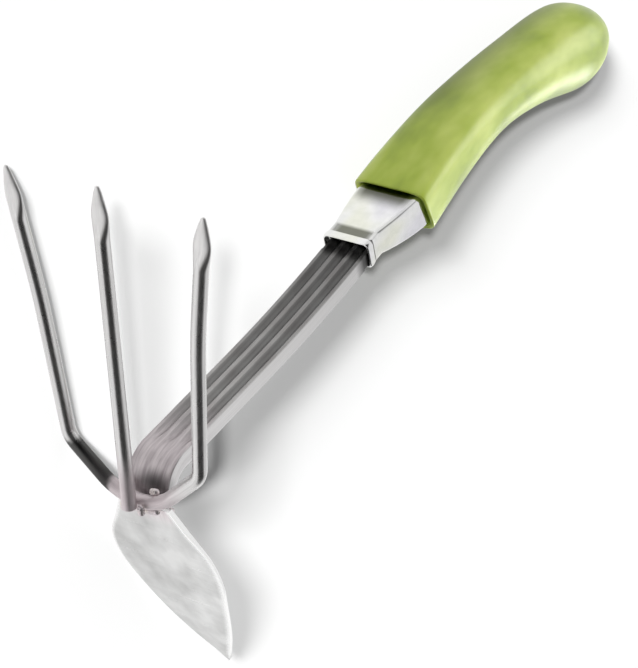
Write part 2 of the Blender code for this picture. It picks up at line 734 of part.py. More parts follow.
def handle_rings(distances, inset):
    """Sections of the handle drawn in by an inset, closing in a dome at the butt."""
    s = np.asarray(distances)
    u = s / HANDLE_LENGTH
    wide = smooth_curve([0, 0.3, 0.65, 1], [MOUTH_WIDTH, WAIST_WIDTH, PALM_WIDTH, BUTT_WIDTH], u) / 2
    thick = smooth_curve([0, 0.2, 0.4, 0.6, 0.8, 1],
                         [MOUTH_THICKNESS, WAIST_THICKNESS, WAIST_THICKNESS, PALM_THICKNESS,
                          BUTT_THICKNESS, BUTT_END_THICKNESS], u) / 2
    power = smooth_curve([0, 0.12, 0.35, 1],
                         [MOUTH_SQUARENESS, NECK_SQUARENESS, BODY_SQUARENESS, BUTT_SQUARENESS], u)
    end, dome = HANDLE_LENGTH - inset, DOME_LENGTH - inset
    over = np.clip((s - (end - dome)) / dome, 0, 1)
    close = (1 - over**DOME_POWER) ** (1 / DOME_POWER)
    x, z, heading = handle_line(s)
    angle = np.linspace(0, 2 * math.pi, HANDLE_SIDES, endpoint=False) + math.pi / HANDLE_SIDES
    cos, sin = np.cos(angle)[None, :], np.sin(angle)[None, :]
    exponent = (2 / power)[:, None]
    across = np.sign(cos) * np.abs(cos) ** exponent * ((wide - inset) * close)[:, None]
    up = np.sign(sin) * np.abs(sin) ** exponent * ((thick - inset) * close)[:, None]
    return np.stack([x[:, None] + up * np.sin(heading)[:, None], across,
                     z[:, None] + up * np.cos(heading)[:, None]], axis=2)


def dome_spacing(start, end, dome, count):
    """Distances that crowd towards the end of the dome, where the section closes."""
    plain = np.linspace(start, end - dome, count - DOME_RINGS, endpoint=False)
    turn = np.linspace(0, math.pi / 2, DOME_RINGS, endpoint=False)
    return np.concatenate([plain, end - dome + dome * np.sin(turn)])


def make_grip(material):
    """Green shell over the core, open at the mouth and domed at the butt."""
    distances = dome_spacing(0, HANDLE_LENGTH, DOME_LENGTH, GRIP_RINGS)
    rings = handle_rings(distances, 0)
    grip = add_object("handle_grip", loft_mesh("handle_grip", rings, cap_end=True), parts, material)
    solidify(grip, GRIP_WALL)
    return grip


def make_core(material):
    """Inner handle: a nose inside the ferrule, a shoulder behind it and a body in the grip."""
    inset = GRIP_WALL + 2 * GAP
    lean = MOUTH_THICKNESS / 2 * abs(math.sin(MOUTH_HEADING))
    shoulder = FERRULE_END + GAP + lean
    distances = dome_spacing(shoulder - MOUTH_PLACE, HANDLE_LENGTH - inset, DOME_LENGTH - inset,
                             CORE_RINGS)
    body = add_object("handle_core",
                      loft_mesh("handle_core", handle_rings(distances, inset), True, True),
                      parts, material)
    places = [NOSE_PLACE] + [x for x in FERRULE_PLACES if x > NOSE_PLACE] + [shoulder + NOSE_ROOT]
    sections = [ferrule_section(x, FERRULE_WALL + 2 * GAP) for x in places]
    nose = loft_mesh("nose", sections, True, True)
    boolean(body, add_cutter("nose", nose), "UNION")
    slot = outline_mesh("tang_slot", tang_outline(GAP), TANG_WIDTH + 2 * GAP, SIDE_VIEW)
    boolean(body, add_cutter("tang_slot", slot), "DIFFERENCE")
    boolean(body, add_cutter("core_hole", pin_mesh("core_hole", PIN_DIAMETER / 2 + GAP, 0.060)),
            "DIFFERENCE")
    return body


def make_pin(material):
    return add_object("tang_pin", pin_mesh("tang_pin", PIN_DIAMETER / 2, PIN_SPAN), parts, material)


def tool_vertices(obj):
    """Evaluated vertices of a piece in the tool's own axes."""
    evaluated = obj.evaluated_get(bpy.context.evaluated_depsgraph_get())
    mesh = evaluated.to_mesh()
    places = np.empty(len(mesh.vertices) * 3)
    mesh.vertices.foreach_get("co", places)
    evaluated.to_mesh_clear()
    return places.reshape(-1, 3)


def lying_on_its_side(pieces):
    """Placement of the tool lying on one outer tine, the blade and the handle."""
    contacts = [tool_vertices(pieces[name]) for name in ("outer_tines", "blade", "handle_grip")]
    down = np.array([0.0, 1.0, 0.0])
    for _ in range(12):
        tine, edge, side = (places[np.argmax(places @ down)] for places in contacts)
        down = np.cross(edge - tine, side - tine)
        down /= np.linalg.norm(down)
        if down[1] < 0:
            down = -down
    up = -down
    along = np.array([1.0, 0.0, 0.0]) - up * up[0]
    along /= np.linalg.norm(along)
    turn = np.array([along, np.cross(up, along), up])
    everything = np.concatenate([tool_vertices(piece) for piece in pieces.values()]) @ turn.T
    low, high = everything.min(axis=0), everything.max(axis=0)
    shift = -np.array([(low[0] + high[0]) / 2, (low[1] + high[1]) / 2, low[2]])
    placement = Matrix(turn.tolist()).to_4x4()
    placement.translation = Vector(shift)
    return placement


for old in list(bpy.data.objects):
    bpy.data.objects.remove(old)
parts = new_collection("hoe_cultivator")
cutters = new_collection("cutters")

forged_steel = principled("forged_steel", (0.62, 0.61, 0.60), 0.30, 1.0)
blade_steel = principled("blade_steel", (0.78, 0.78, 0.77), 0.28, 1.0)
rod_steel = principled("rod_steel", (0.66, 0.65, 0.64), 0.25, 1.0)
weld_steel = principled("weld_steel", (0.60, 0.57, 0.56), 0.45, 1.0)
bright_chrome = principled("bright_chrome", (0.86, 0.86, 0.86), 0.10, 1.0)
core_plastic = principled("core_plastic", (0.30, 0.36, 0.12), 0.50, 0.0)
green_plastic = principled("green_plastic", (0.42, 0.56, 0.09), 0.18, 0.0, 0.5)

pieces = {
    "shaft": make_bar(forged_steel),
    "blade": make_blade(blade_steel),
    "outer_tines": make_outer_tines(rod_steel),
    "center_tine": make_center_tine(rod_steel),
    "tine_weld_far": make_tine_weld("tine_weld_far", 1, weld_steel),
    "tine_weld_near": make_tine_weld("tine_weld_near", -1, weld_steel),
    "center_weld_far": make_center_weld("center_weld_far", 1, weld_steel),
    "center_weld_near": make_center_weld("center_weld_near", -1, weld_steel),
    "blade_weld_front": make_front_weld(weld_steel),
    "blade_weld_far": make_blade_weld("blade_weld_far", 1, weld_steel),
    "blade_weld_near": make_blade_weld("blade_weld_near", -1, weld_steel),
    "ferrule_collar": make_collar(bright_chrome),
    "ferrule": make_ferrule(bright_chrome),
    "handle_core": make_core(core_plastic),
    "tang_pin": make_pin(forged_steel),
    "handle_grip": make_grip(green_plastic),
}
bpy.context.view_layer.update()

rest = bpy.data.objects.new("tool_rest", None)
parts.objects.link(rest)
placement = lying_on_its_side(pieces)
for piece in list(pieces.values()) + list(cutters.objects):
    piece.parent = rest
rest.matrix_world = placement
bpy.context.view_layer.update()
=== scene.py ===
# %% [markdown]
# # A hand hoe with three prongs, dressed for a product picture
# The tool is a flat steel bar with three flutes, bent down at its head. A leaf-shaped hoe blade
# and three rod prongs are welded to the bent leg, and a green plastic grip sits on a bright
# ferrule at the other end. The construction is packed already as a fixed frame. This notebook
# loads it and gives each piece its fine surface and its finish.

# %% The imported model
import json
import math

import bpy
import numpy as np
from mathutils import Matrix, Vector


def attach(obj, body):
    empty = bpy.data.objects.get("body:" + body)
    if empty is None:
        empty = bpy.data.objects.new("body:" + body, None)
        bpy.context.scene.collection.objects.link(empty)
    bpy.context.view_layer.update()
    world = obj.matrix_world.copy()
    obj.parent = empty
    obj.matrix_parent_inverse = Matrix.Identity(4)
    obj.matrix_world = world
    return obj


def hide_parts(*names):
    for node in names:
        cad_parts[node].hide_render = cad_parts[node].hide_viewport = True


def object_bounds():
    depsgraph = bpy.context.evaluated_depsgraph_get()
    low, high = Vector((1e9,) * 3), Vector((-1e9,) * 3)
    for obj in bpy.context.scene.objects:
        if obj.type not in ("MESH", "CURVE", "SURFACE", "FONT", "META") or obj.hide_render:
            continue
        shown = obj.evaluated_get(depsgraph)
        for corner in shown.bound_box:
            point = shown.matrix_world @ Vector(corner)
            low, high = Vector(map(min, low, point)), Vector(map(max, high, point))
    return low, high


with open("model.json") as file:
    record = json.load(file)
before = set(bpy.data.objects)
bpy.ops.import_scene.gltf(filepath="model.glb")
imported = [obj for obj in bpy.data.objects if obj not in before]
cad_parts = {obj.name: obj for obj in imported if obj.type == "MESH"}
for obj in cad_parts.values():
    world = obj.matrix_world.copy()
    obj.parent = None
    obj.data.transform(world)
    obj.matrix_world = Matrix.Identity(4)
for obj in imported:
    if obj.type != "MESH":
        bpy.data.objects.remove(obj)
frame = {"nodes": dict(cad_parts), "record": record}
cad_low, cad_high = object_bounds()
scene = bpy.context.scene
join = np.concatenate
print("packed pieces:", ", ".join(sorted(frame["nodes"])))

# %% [markdown]
# ## The tool's own axes
# The tool lies on its side, so its bar is level with none of the world's axes. Shapes are easier
# to write in the tool's own axes: X runs from the head to the butt, Y points to the far side and
# Z is the way the prongs point. The record gives the places and directions of two flat faces of
# the bar, and these are enough to find the axes again.

# %% Tool axes
BAR_WIDTH = 0.0182
BAR_THICKNESS = 0.0058
UNDERSIDE_PLACE = 0.036

mounts = {mount["name"]: mount for mount in frame["record"]["mounts"]}
up_axis = -np.array(mounts["shaft_underside"]["axis"])
far_axis = -np.array(mounts["shaft_side"]["axis"])
AXES = np.array([np.cross(far_axis, up_axis), far_axis, up_axis])
ORIGIN = (np.array(mounts["shaft_underside"]["pos_m"])
          - np.array([UNDERSIDE_PLACE, 0, -BAR_THICKNESS]) @ AXES)


def to_world(points):
    """World place of points in the tool's axes: each coordinate times its axis, plus the origin."""
    return np.asarray(points) @ AXES + ORIGIN


def tool_places(mesh):
    """Points of a mesh in the tool's axes: the way back from the world's."""
    places = np.empty(len(mesh.vertices) * 3)
    mesh.vertices.foreach_get("co", places)
    return (places.reshape(-1, 3) - ORIGIN) @ AXES.T


for name in ("shaft", "blade", "outer_tines", "handle_grip"):
    places = tool_places(frame["nodes"][name].data) * 1000
    print(name, "in tool axes, mm:", places.min(axis=0).round(1), places.max(axis=0).round(1))

# %% [markdown]
# ## From a grid of points to a piece
# Every new piece is a grid: rows of points along it, and columns around its section, so that each
# point has a formula of its own. The helper joins neighbours with quads, closes each open end with
# a pole, and turns the surface round if its volume comes out negative, because faces have to look
# outwards. It stores three things for each point: the grain, which says how far the point lay
# along, across and above the piece before that was bent; a hollow number for flutes, ground edges,
# forged points and the painted shade on the sleeves; and the weld heat, which fades with the
# distance from the welds at the head.

# %% Grids and pieces
CREASE = math.radians(38)
WELD_PLACE = np.array([-0.006, 0, -0.010])
HEAT_REACH = np.array([0.030, 0.020, 0.018])
BAR_HEAT_REACH = np.array([0.032, 0.040, 0.032])
HEAT_BELOW = 0.009
HEAT_EDGE = 1.5

looks = bpy.data.collections.new("looks")
scene.collection.children.link(looks)


def unit(vectors):
    """Vectors of length one: each over the root of the sum of its squares."""
    return vectors / np.linalg.norm(vectors, axis=-1, keepdims=True)


def grid(x, y, z):
    """Points from three coordinates, each spread over all the rows and columns."""
    return np.stack(np.broadcast_arrays(x, y, z), axis=-1)


def grid_quads(rows, columns, round_rows):
    """Corner numbers of the quads between neighbours in a grid whose columns close on themselves."""
    i = np.arange(rows if round_rows else rows - 1)[:, None]
    j = np.arange(columns)[None, :]
    below, beside = (i + 1) % rows, (j + 1) % columns
    corners = [i * columns + j, i * columns + beside, below * columns + beside, below * columns + j]
    return np.stack(corners, axis=2).reshape(-1, 4)


def fan(pole, ring):
    """Triangles between a pole and each edge of a ring."""
    return np.stack([np.full(len(ring), pole), ring, np.roll(ring, -1)], axis=1)


def volume(vertices, triangles):
    """Signed volume: the sum of the tetrahedra between the origin and each triangle."""
    a, b, c = (vertices[triangles[:, k]] for k in range(3))
    return float(np.einsum("ij,ij->i", a, np.cross(b, c)).sum() / 6)


def ease(t):
    """Smooth step: three times the square less twice the cube, held at 0 and 1."""
    t = np.clip(t, 0, 1)
    return t * t * (3 - 2 * t)


def welding_heat(points, heat_reach):
    """Share of the heat tint at a point, from its distance to the welds over the heat's reach."""
    off = points - WELD_PLACE
    reach = np.tile(heat_reach, (len(points), 1))
    reach[off[:, 2] < 0, 2] = HEAT_BELOW
    return ease(HEAT_EDGE - np.linalg.norm(off / reach, axis=1))


def store(mesh, name, values):
    """Keeps a number for each point under a name that a finish can read; the poles get 0."""
    filled = np.zeros(len(mesh.vertices))
    filled[:np.size(values)] = np.ravel(values)
    mesh.attributes.new(name, "FLOAT", "POINT").data.foreach_set("value", filled)


def make_piece(name, points, grain, nodes, finish, round_rows=False, hollow=0.0,
               heat_reach=HEAT_REACH):
    """Closed piece from a grid of points in the tool's axes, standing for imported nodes."""
    rows, columns = points.shape[:2]
    vertices, follow = points.reshape(-1, 3), grain.reshape(-1, 3)
    quads = grid_quads(rows, columns, round_rows)
    triangles = np.empty((0, 3), int)
    if not round_rows:
        ring = np.arange(columns)
        vertices = join([vertices, points[[0, -1]].mean(axis=1)])
        follow = join([follow, grain[[0, -1]].mean(axis=1)])
        triangles = join([fan(rows * columns, ring[::-1]),
                          fan(rows * columns + 1, ring + (rows - 1) * columns)])
    split = join([quads[:, [0, 1, 2]], quads[:, [0, 2, 3]], triangles])
    inside = volume(vertices - vertices.mean(axis=0), split)
    if inside < 0:
        quads, triangles = quads[:, ::-1], triangles[:, ::-1]
    mesh = bpy.data.meshes.new(name)
    mesh.from_pydata(to_world(vertices).tolist(), [], quads.tolist() + triangles.tolist())
    layer = mesh.attributes.new("grain", "FLOAT_VECTOR", "POINT")
    layer.data.foreach_set("vector", follow.ravel())
    store(mesh, "hollow", hollow)
    store(mesh, "weld_heat", welding_heat(vertices, heat_reach))
    mesh.shade_smooth()
    mesh.set_sharp_from_angle(angle=CREASE)
    mesh.materials.append(finish.owner)
    piece = bpy.data.objects.new(name, mesh)
    looks.objects.link(piece)
    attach(piece, "root")
    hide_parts(*nodes)
    print(f"{name}: {len(vertices)} points, {len(quads) + len(triangles)} faces, "
          f"{abs(inside) * 1e6:.2f} cm3")
    return piece


# %% [markdown]
# ## Curves that the pieces follow
# A real outline has few decisions in it: a width here, a width there, and a smooth run between
# them. One helper runs a cubic through such values. Another bends a straight path at its corners
# with true arcs, the way a rod is bent round a former.

# %% Curve helpers
def spaced(places, counts):
    """Evenly spaced numbers between neighbours in a list, as many as the counts say, and the last."""
    runs = [np.linspace(a, b, n, endpoint=False) for a, b, n in zip(places, places[1:], counts)]
    return join(runs + [places[-1:]])


def turns(count):
    """Angles spread evenly round a circle."""
    return np.linspace(0, 2 * math.pi, count, endpoint=False)


def smooth_curve(stations, values, at):
    """Cubic through the values, with the slope at each station taken from its neighbours."""
    stations, values, at = (np.asarray(v, dtype=float) for v in (stations, values, at))
    slopes = np.gradient(values, stations)
    k = np.clip(np.searchsorted(stations, at, side="right") - 1, 0, len(stations) - 2)
    span = stations[k + 1] - stations[k]
    t = (at - stations[k]) / span
    return ((2 * t**3 - 3 * t**2 + 1) * values[k] + (t**3 - 2 * t**2 + t) * span * slopes[k]
            + (3 * t**2 - 2 * t**3) * values[k + 1] + (t**3 - t**2) * span * slopes[k + 1])


def arc(start, corner, end, radius, steps):
    """Points of the arc that rounds a corner, which touches both of its sides."""
    start, corner, end = np.asarray([start, corner, end], dtype=float)
    back, ahead = unit(start - corner), unit(end - corner)
    half_turn = (math.pi - math.acos(float(np.clip(back @ ahead, -1, 1)))) / 2
    centre = corner + unit(back + ahead) * radius / math.cos(half_turn)
    first = corner + back * radius * math.tan(half_turn) - centre
    angle = np.linspace(0, 2 * half_turn, steps + 1)[:, None]
    return centre + first * np.cos(angle) - back * radius * np.sin(angle)


def rounded_path(corners, radii, steps):
    """Path through the corners, with an arc at each inner one."""
    corners = np.asarray(corners, dtype=float)
    parts = [corners[:1]]
    for i, radius in enumerate(radii, start=1):
        parts.append(arc(corners[i - 1], corners[i], corners[i + 1], radius, steps))
    return join(parts + [corners[-1:]])


def distance_along(path):
    """Running length of a path at each of its points."""
    return join([[0], np.cumsum(np.linalg.norm(np.diff(path, axis=0), axis=1))])


def evenly(path, places):
    """Points of a path at given distances along it."""
    run = distance_along(path)
    return grid(*(np.interp(places, run, path[:, k]) for k in range(3)))


# %% [markdown]
# ## How a finish is put together
# A finish is a Principled shader with a few threads leading into it. Each thread starts from the
# grain stored on the piece, is stretched by a Mapping node, becomes noise and then ends as a
# colour, a roughness or a bump. One class ties the threads of a material or of the sky, so that
# each finish below reads as a short list of what the real surface shows.

# %% Finish helpers
WHITE = (1.0, 1.0, 1.0)
NOISE_LOW = 0.3
NOISE_HIGH = 0.7


class Threads:
    """Nodes of a material or of the sky. Most methods add nodes and give back the last output."""

    def __init__(self, owner, end):
        owner.use_nodes = True
        self.owner = owner
        self.tree = owner.node_tree
        self.end = self.tree.nodes[end].inputs

    def fill(self, sockets, values):
        """Gives each socket a number, a vector, a colour or the output of another node."""
        for name, value in values.items():
            socket = sockets[name]
            if isinstance(value, bpy.types.NodeSocket):
                self.tree.links.new(value, socket)
            elif isinstance(value, tuple) and len(value) < len(socket.default_value):
                socket.default_value = (*value, 1.0)
            else:
                socket.default_value = value

    def node(self, kind, output, values, **settings):
        """New node with its settings and its inputs."""
        node = self.tree.nodes.new("ShaderNode" + kind)
        for name, value in settings.items():
            setattr(node, name, value)
        self.fill(node.inputs, values)
        return node.outputs[output]

    def noise(self, scale, detail=3.0, roughness=0.6, on_grain=True):
        """Noise on the grain or the object's own place; scale is how many lumps go into a metre."""
        place = (self.node("Attribute", "Vector", {}, attribute_name="grain") if on_grain
                 else self.node("TexCoord", "Object", {}))
        stretched = self.node("Mapping", "Vector", {"Vector": place, "Scale": scale})
        return self.node("TexNoise", "Fac", {"Vector": stretched, "Scale": 1.0, "Detail": detail,
                                             "Roughness": roughness})

    def ranged(self, *numbers, **settings):
        """Value carried from one range to another, and held at the ends."""
        names = ("Value", "From Min", "From Max", "To Min", "To Max")
        return self.node("MapRange", "Result", dict(zip(names, numbers)), **settings)

    def rough(self, noise, low, high):
        """Roughness that follows a noise, whose values lie mostly between two numbers."""
        return self.ranged(noise, NOISE_LOW, NOISE_HIGH, low, high)

    def stored(self, name, most=1.0):
        """Number from 0 to 1 that the piece stores for each point, times the most it may reach."""
        value = self.node("Attribute", "Fac", {}, attribute_name=name)
        return value if most == 1.0 else self.ranged(value, 0.0, 1.0, 0.0, most)

    def tinted(self, share, *stops):
        """Colour of a ramp at a share; each stop is a place on the ramp and its colour."""
        colour = self.node("ValToRGB", "Color", {"Fac": share})
        elements = colour.node.color_ramp.elements
        while len(elements) < len(stops):
            elements.new(0.5)
        for element, (place, tone) in zip(elements, stops):
            element.position = place
            element.color = (*tone, 1.0)
        return colour

    def blended(self, share, first, second, kind="MIX"):
        """Two colours blended by a share."""
        return self.node("Mix", 2, {0: share, 6: first, 7: second}, data_type="RGBA",
                         blend_type=kind)

    def show(self, colour, roughness, *bumps):
        """Leads colour and roughness into the shader, and bumps laid over one another.

        A bump is its height map, the full swing of that in metres, and its strength.
        """
        normal = {}
        for height, distance, strength in bumps:
            values = {"Height": height, "Distance": distance, "Strength": strength, **normal}
            normal = {"Normal": self.node("Bump", "Normal", values)}
        self.fill(self.end, {"Base Color": colour, "Roughness": roughness, **normal})
        print(f"{self.owner.name}: {len(self.tree.nodes)} nodes")


def new_finish(name, colour, roughness, metallic=0.0):
    """Principled material with its plain values set on the shader itself."""
    material = bpy.data.materials.new(name)
    material.diffuse_color = (*colour, 1.0)
    finish = Threads(material, "Principled BSDF")
    finish.fill(finish.end, {"Base Color": colour, "Roughness": roughness, "Metallic": metallic})
    return finish


# %% [markdown]
# ## Forged steel of the bar
# The bar is rolled and linished lengthwise, so its scratches run along it and follow the bend: a
# brushed look is noise stretched a hundredfold along the grain. The flutes keep dark mill scale,
# and the ribs between them are rubbed. The narrow sides are painted lighter: a ground finish and a
# painted highlight. Beside the welds the steel has a dull rosy skin. Painted shade darkens the
# crook behind the prongs, the bar inside the ferrule's mouth, and the bar more and more towards
# the grip. These marks belong to places and not to a pattern, so the mesh stores where they are.

# %% Forged steel
FORGED_DARK = (0.25, 0.248, 0.243)
FORGED_MID = (0.40, 0.395, 0.388)
FORGED_LIGHT = (0.60, 0.59, 0.58)
FORGED_STAIN = (0.82, 0.80, 0.80)
# Tones of the narrow sides, lighter than the top: a ground finish and a painted highlight.
SIDE_DEEP = (0.74, 0.73, 0.73)
SIDE_PALE = (0.92, 0.91, 0.91)
SCALED_TONES = (0.40, 0.355, 0.37), (0.66, 0.61, 0.62)
WELDED_TONES = (0.66, 0.595, 0.61), (0.84, 0.775, 0.79)
# Colour of the painted shade on the bar: the crook behind the prongs, the ferrule's mouth, the rear.
PAINTED_SHADE_TONE = (0.018, 0.018, 0.017)
HEAT_SWING = 0.08


def heated(finish, tone, roughness, rosy, dullness=0.5):
    """Colour and roughness of a steel that turns rosy and dull in streaks beside the welds."""
    streaks = finish.noise((60, 700, 700))
    skin = finish.tinted(streaks, (0.36, rosy[0]), (0.64, rosy[1]))
    dull = finish.rough(streaks, dullness - HEAT_SWING, dullness + HEAT_SWING)
    heat = finish.stored("weld_heat")
    return finish.blended(heat, tone, skin), finish.blended(heat, roughness, dull)


finish = FORGED_STEEL = new_finish("forged_steel_brushed", FORGED_MID, 0.36, 1.0)
brushed = finish.noise((30, 2600, 2600), 5.0)
cloudy = finish.noise((90, 160, 160), 3.0, 0.5)
tone = finish.tinted(brushed, (0.30, FORGED_MID), (0.72, FORGED_LIGHT))
in_flute = finish.ranged(finish.stored("hollow"), 0.05, 0.75, 0.0, 1.0)
stained = finish.tinted(cloudy, (0.35, FORGED_STAIN), (0.65, WHITE))
rubbed = finish.blended(1.0, finish.blended(in_flute, tone, FORGED_DARK), stained, "MULTIPLY")
skin, roughness = heated(finish, rubbed, finish.rough(brushed, 0.30, 0.50), SCALED_TONES)
# The narrow sides are painted lighter: a ground finish and a painted highlight.
ground = finish.tinted(brushed, (0.30, SIDE_DEEP), (0.72, SIDE_PALE))
clean = finish.blended(finish.stored("ground_side_highlight", 0.9), skin, ground)
# The last blend is painted shade, darkest in the crook, in the ferrule's mouth and towards the grip.
finish.show(finish.blended(finish.stored("painted_shade", 0.88), clean, PAINTED_SHADE_TONE), roughness,
            (brushed, 0.00003, 0.6), (cloudy, 0.00012, 0.5))

# %% [markdown]
# ## The fluted bar
# The bar, its bent leg and its tang are one piece of steel. Seen from the side it is two lines,
# each bent round the neck by an arc of its own radius. A section is laid between each pair of
# points on them: a rectangle with rounded edges, whose top side dips where the flutes run.

# %% Bar in side view
GAP = 0.0003
BAR_REACH = 0.127
CURVE_START = 0.060
CURVE_END = 0.122
REAR_SLOPE = 0.10
BLADE_TOP = -0.0136
LEG_DEPTH = 0.022
LEG_FRONT = -0.0028
LEG_LEAN = math.radians(6.5)
LEG_END_THICKNESS = 0.0036
LEG_TAPER_TOP = -0.0095
LEG_FOOT_WIDTH = 0.010
NECK_RADIUS = 0.014
NECK_INNER_RADIUS = 0.0085
NECK_STEPS = 40
LEG_STEPS = 9
FLUTE_START = 0.012
FLUTE_RUNOUT = 0.006
SEAT_STEP = 0.00025
SEAT_START = 0.124
SHOULDER = 0.1397
TANG_LENGTH = 0.072
TANG_WIDTH = 0.010
TANG_THICKNESS = 0.0044
TANG_RISE = math.radians(4.0)
STEP_RUN = 0.0001
BAR_PLACES = [FLUTE_START, FLUTE_START + FLUTE_RUNOUT, 0.020, CURVE_START, 0.062, SEAT_START,
              SEAT_START + STEP_RUN, 0.1255, SHOULDER]
BAR_ROWS = [8, 1, 14, 1, 25, 1, 1, 5]


def bar_lift(x):
    """Height of the bar's top: a parabola from the start of its curve, then a straight slope."""
    reach = CURVE_END - CURVE_START
    t = np.clip((x - CURVE_START) / reach, 0, 1)
    return REAR_SLOPE * (reach * t * t / 2 + np.maximum(x - CURVE_END, 0))


def leg_front(z):
    """X of the leg's front face at a height, on a line that leans with the blade."""
    return LEG_FRONT - (z - BLADE_TOP) * math.tan(LEG_LEAN)


def neck_line(foot_x, corner_x, corner_z, radius):
    """Side view from the leg's foot, round the neck, to where the flutes start."""
    foot, corner, bar = (foot_x, -LEG_DEPTH), (corner_x, corner_z), (FLUTE_START, corner_z)
    bend = arc(foot, corner, bar, radius, NECK_STEPS)
    return join([np.linspace(foot, bend[0], LEG_STEPS)[:-1], bend])


outer = neck_line(leg_front(-LEG_DEPTH), leg_front(0), 0, NECK_RADIUS)
inner = neck_line(leg_front(-LEG_DEPTH) + LEG_END_THICKNESS,
                  leg_front(-BAR_THICKNESS) + BAR_THICKNESS, -BAR_THICKNESS, NECK_INNER_RADIUS)
bar_x = spaced(BAR_PLACES, BAR_ROWS)
seated = (bar_x > SEAT_START) * SEAT_STEP
outer = join([outer, np.stack([bar_x, bar_lift(bar_x)], axis=1)])
inner = join([inner, np.stack([bar_x, bar_lift(bar_x) - BAR_THICKNESS + seated], axis=1)])
print("side view:", len(outer), "sections from the foot to the shoulder")

# %% Bar sections
BAR_EDGE = 0.0005
# Painted shade on the bar: a dark patch in the crook behind the prongs, a dark run into the ferrule's
# mouth, and a darkening towards the grip that is weaker on the narrow sides.
CROOK_SHADE_PLACE = np.array([-0.0030, -0.0030, -0.0055])
CROOK_SHADE_REACH = np.array([0.0060, 0.0085, 0.0052])
CROOK_SHADE_EDGE = 1.35
BAR_MOUTH_SHADE_START = 0.1195
BAR_MOUTH_SHADE_RUN = 0.0035
SHADE_START = 0.012
REAR_SHADE = 0.68
SIDE_SHADE = 0.35
FLUTE_COUNT = 3
FLUTE_PITCH = 0.0056
FLUTE_RADIUS = 0.0026
FLUTE_DEPTH = 0.0009
TOP_COLUMNS = 109
BASE_COLUMNS = 7
EDGE_STEPS = 6


def bar_section(half, thick, strength):
    """Side distance and depth below the top, round a box whose corners are quarter circles.

    Each size is a column with a row for each section. The flutes are circles that dip below the
    top by their depth, times their strength.
    """
    inside = half - BAR_EDGE
    turn = np.linspace(0, math.pi / 2, EDGE_STEPS)
    sine, cosine = BAR_EDGE * np.sin(turn), BAR_EDGE * np.cos(turn)
    top = np.linspace(-1, 1, TOP_COLUMNS) * inside
    base = np.linspace(1, -1, BASE_COLUMNS)[1:-1] * inside
    middles = (np.arange(FLUTE_COUNT) - (FLUTE_COUNT - 1) / 2) * FLUTE_PITCH
    chord = np.sqrt(np.maximum(FLUTE_RADIUS**2 - (top[..., None] - middles) ** 2, 0))
    dip = chord - (FLUTE_RADIUS - FLUTE_DEPTH * strength[..., None])
    side = [top, inside + sine[1:], inside + cosine, base, -inside - sine, (-inside - cosine)[:, :-1]]
    depth = [np.maximum(dip, 0).max(axis=-1), BAR_EDGE - cosine[1:] + 0 * half,
             thick - BAR_EDGE + sine, thick + 0 * base, thick - BAR_EDGE + cosine,
             (BAR_EDGE - sine + 0 * half)[:, :-1]]
    return join(side, axis=1), join(depth, axis=1)


tang_root = np.array([SHOULDER, bar_lift(SHOULDER) - BAR_THICKNESS / 2])
tang_along = np.array([math.cos(TANG_RISE), math.sin(TANG_RISE)])
tang_across = np.array([-tang_along[1], tang_along[0]]) * TANG_THICKNESS / 2
tang = tang_root + np.array([[STEP_RUN], [TANG_LENGTH]]) * tang_along
outer = join([outer, tang + tang_across])
inner = join([inner, tang - tang_across])

height = (outer[:, 1] + inner[:, 1]) / 2
taper = np.clip((height - LEG_TAPER_TOP) / (-LEG_DEPTH - LEG_TAPER_TOP), 0, 1)
half_width = BAR_WIDTH / 2 + (LEG_FOOT_WIDTH - BAR_WIDTH) / 2 * taper
half_width[(outer[:, 0] > SEAT_START) & (height > -BAR_THICKNESS)] -= SEAT_STEP
half_width[-2:] = TANG_WIDTH / 2
thickness = np.linalg.norm(outer - inner, axis=1)
strength = np.clip((outer[:, 0] - FLUTE_START) / FLUTE_RUNOUT, 0, 1) * (height > -BAR_THICKNESS)
strength[-2:] = 0

side, depth = bar_section(half_width[:, None], thickness[:, None], strength[:, None])
down = (inner - outer) / thickness[:, None]
section = outer[:, None] + down[:, None] * depth[..., None]
run = distance_along(outer)[:, None]
hollow = np.zeros_like(depth)
hollow[:, :TOP_COLUMNS] = depth[:, :TOP_COLUMNS] / FLUTE_DEPTH
bar_points = grid(section[..., 0], side, section[..., 1])
bar = make_piece("fluted_bar", bar_points, grid(run, side, -depth), ["shaft"],
                 FORGED_STEEL, hollow=hollow, heat_reach=BAR_HEAT_REACH)

# Narrow sides, painted lighter: a ground finish and a painted highlight.
ground_side_highlight = ease((np.abs(side) - half_width[:, None] + BAR_EDGE) / BAR_EDGE)
# Painted shade: the crook behind the prongs, inside the ferrule's mouth, and towards the grip.
in_corner = ease(CROOK_SHADE_EDGE - np.linalg.norm((bar_points - CROOK_SHADE_PLACE) / CROOK_SHADE_REACH, axis=2))
in_mouth = ease((bar_points[..., 0] - BAR_MOUTH_SHADE_START) / BAR_MOUTH_SHADE_RUN)
toward_grip = np.clip((bar_points[..., 0] - SHADE_START) / (BAR_REACH - SHADE_START), 0, 1)
rear_shade = toward_grip * REAR_SHADE * (1 - (1 - SIDE_SHADE) * ground_side_highlight)
painted_shade = np.maximum(np.maximum(in_corner, in_mouth), rear_shade)
store(bar.data, "ground_side_highlight", ground_side_highlight)
store(bar.data, "painted_shade", painted_shade)
print(f"ground share {ground_side_highlight.mean():.3f}, shade_painted share {painted_shade.mean():.3f}")

# %% [markdown]
# ## Blade steel
# The blade is sheet steel, ground on a belt. The belt leaves fine lines across the leaf, and
# handling leaves soft cloudy patches. Both mostly change how the light spreads, so they go into
# the roughness and the bump, with a little in the colour. The ground bevel is painted near white
# and smoother: ground steel, and a painted highlight along the edges.

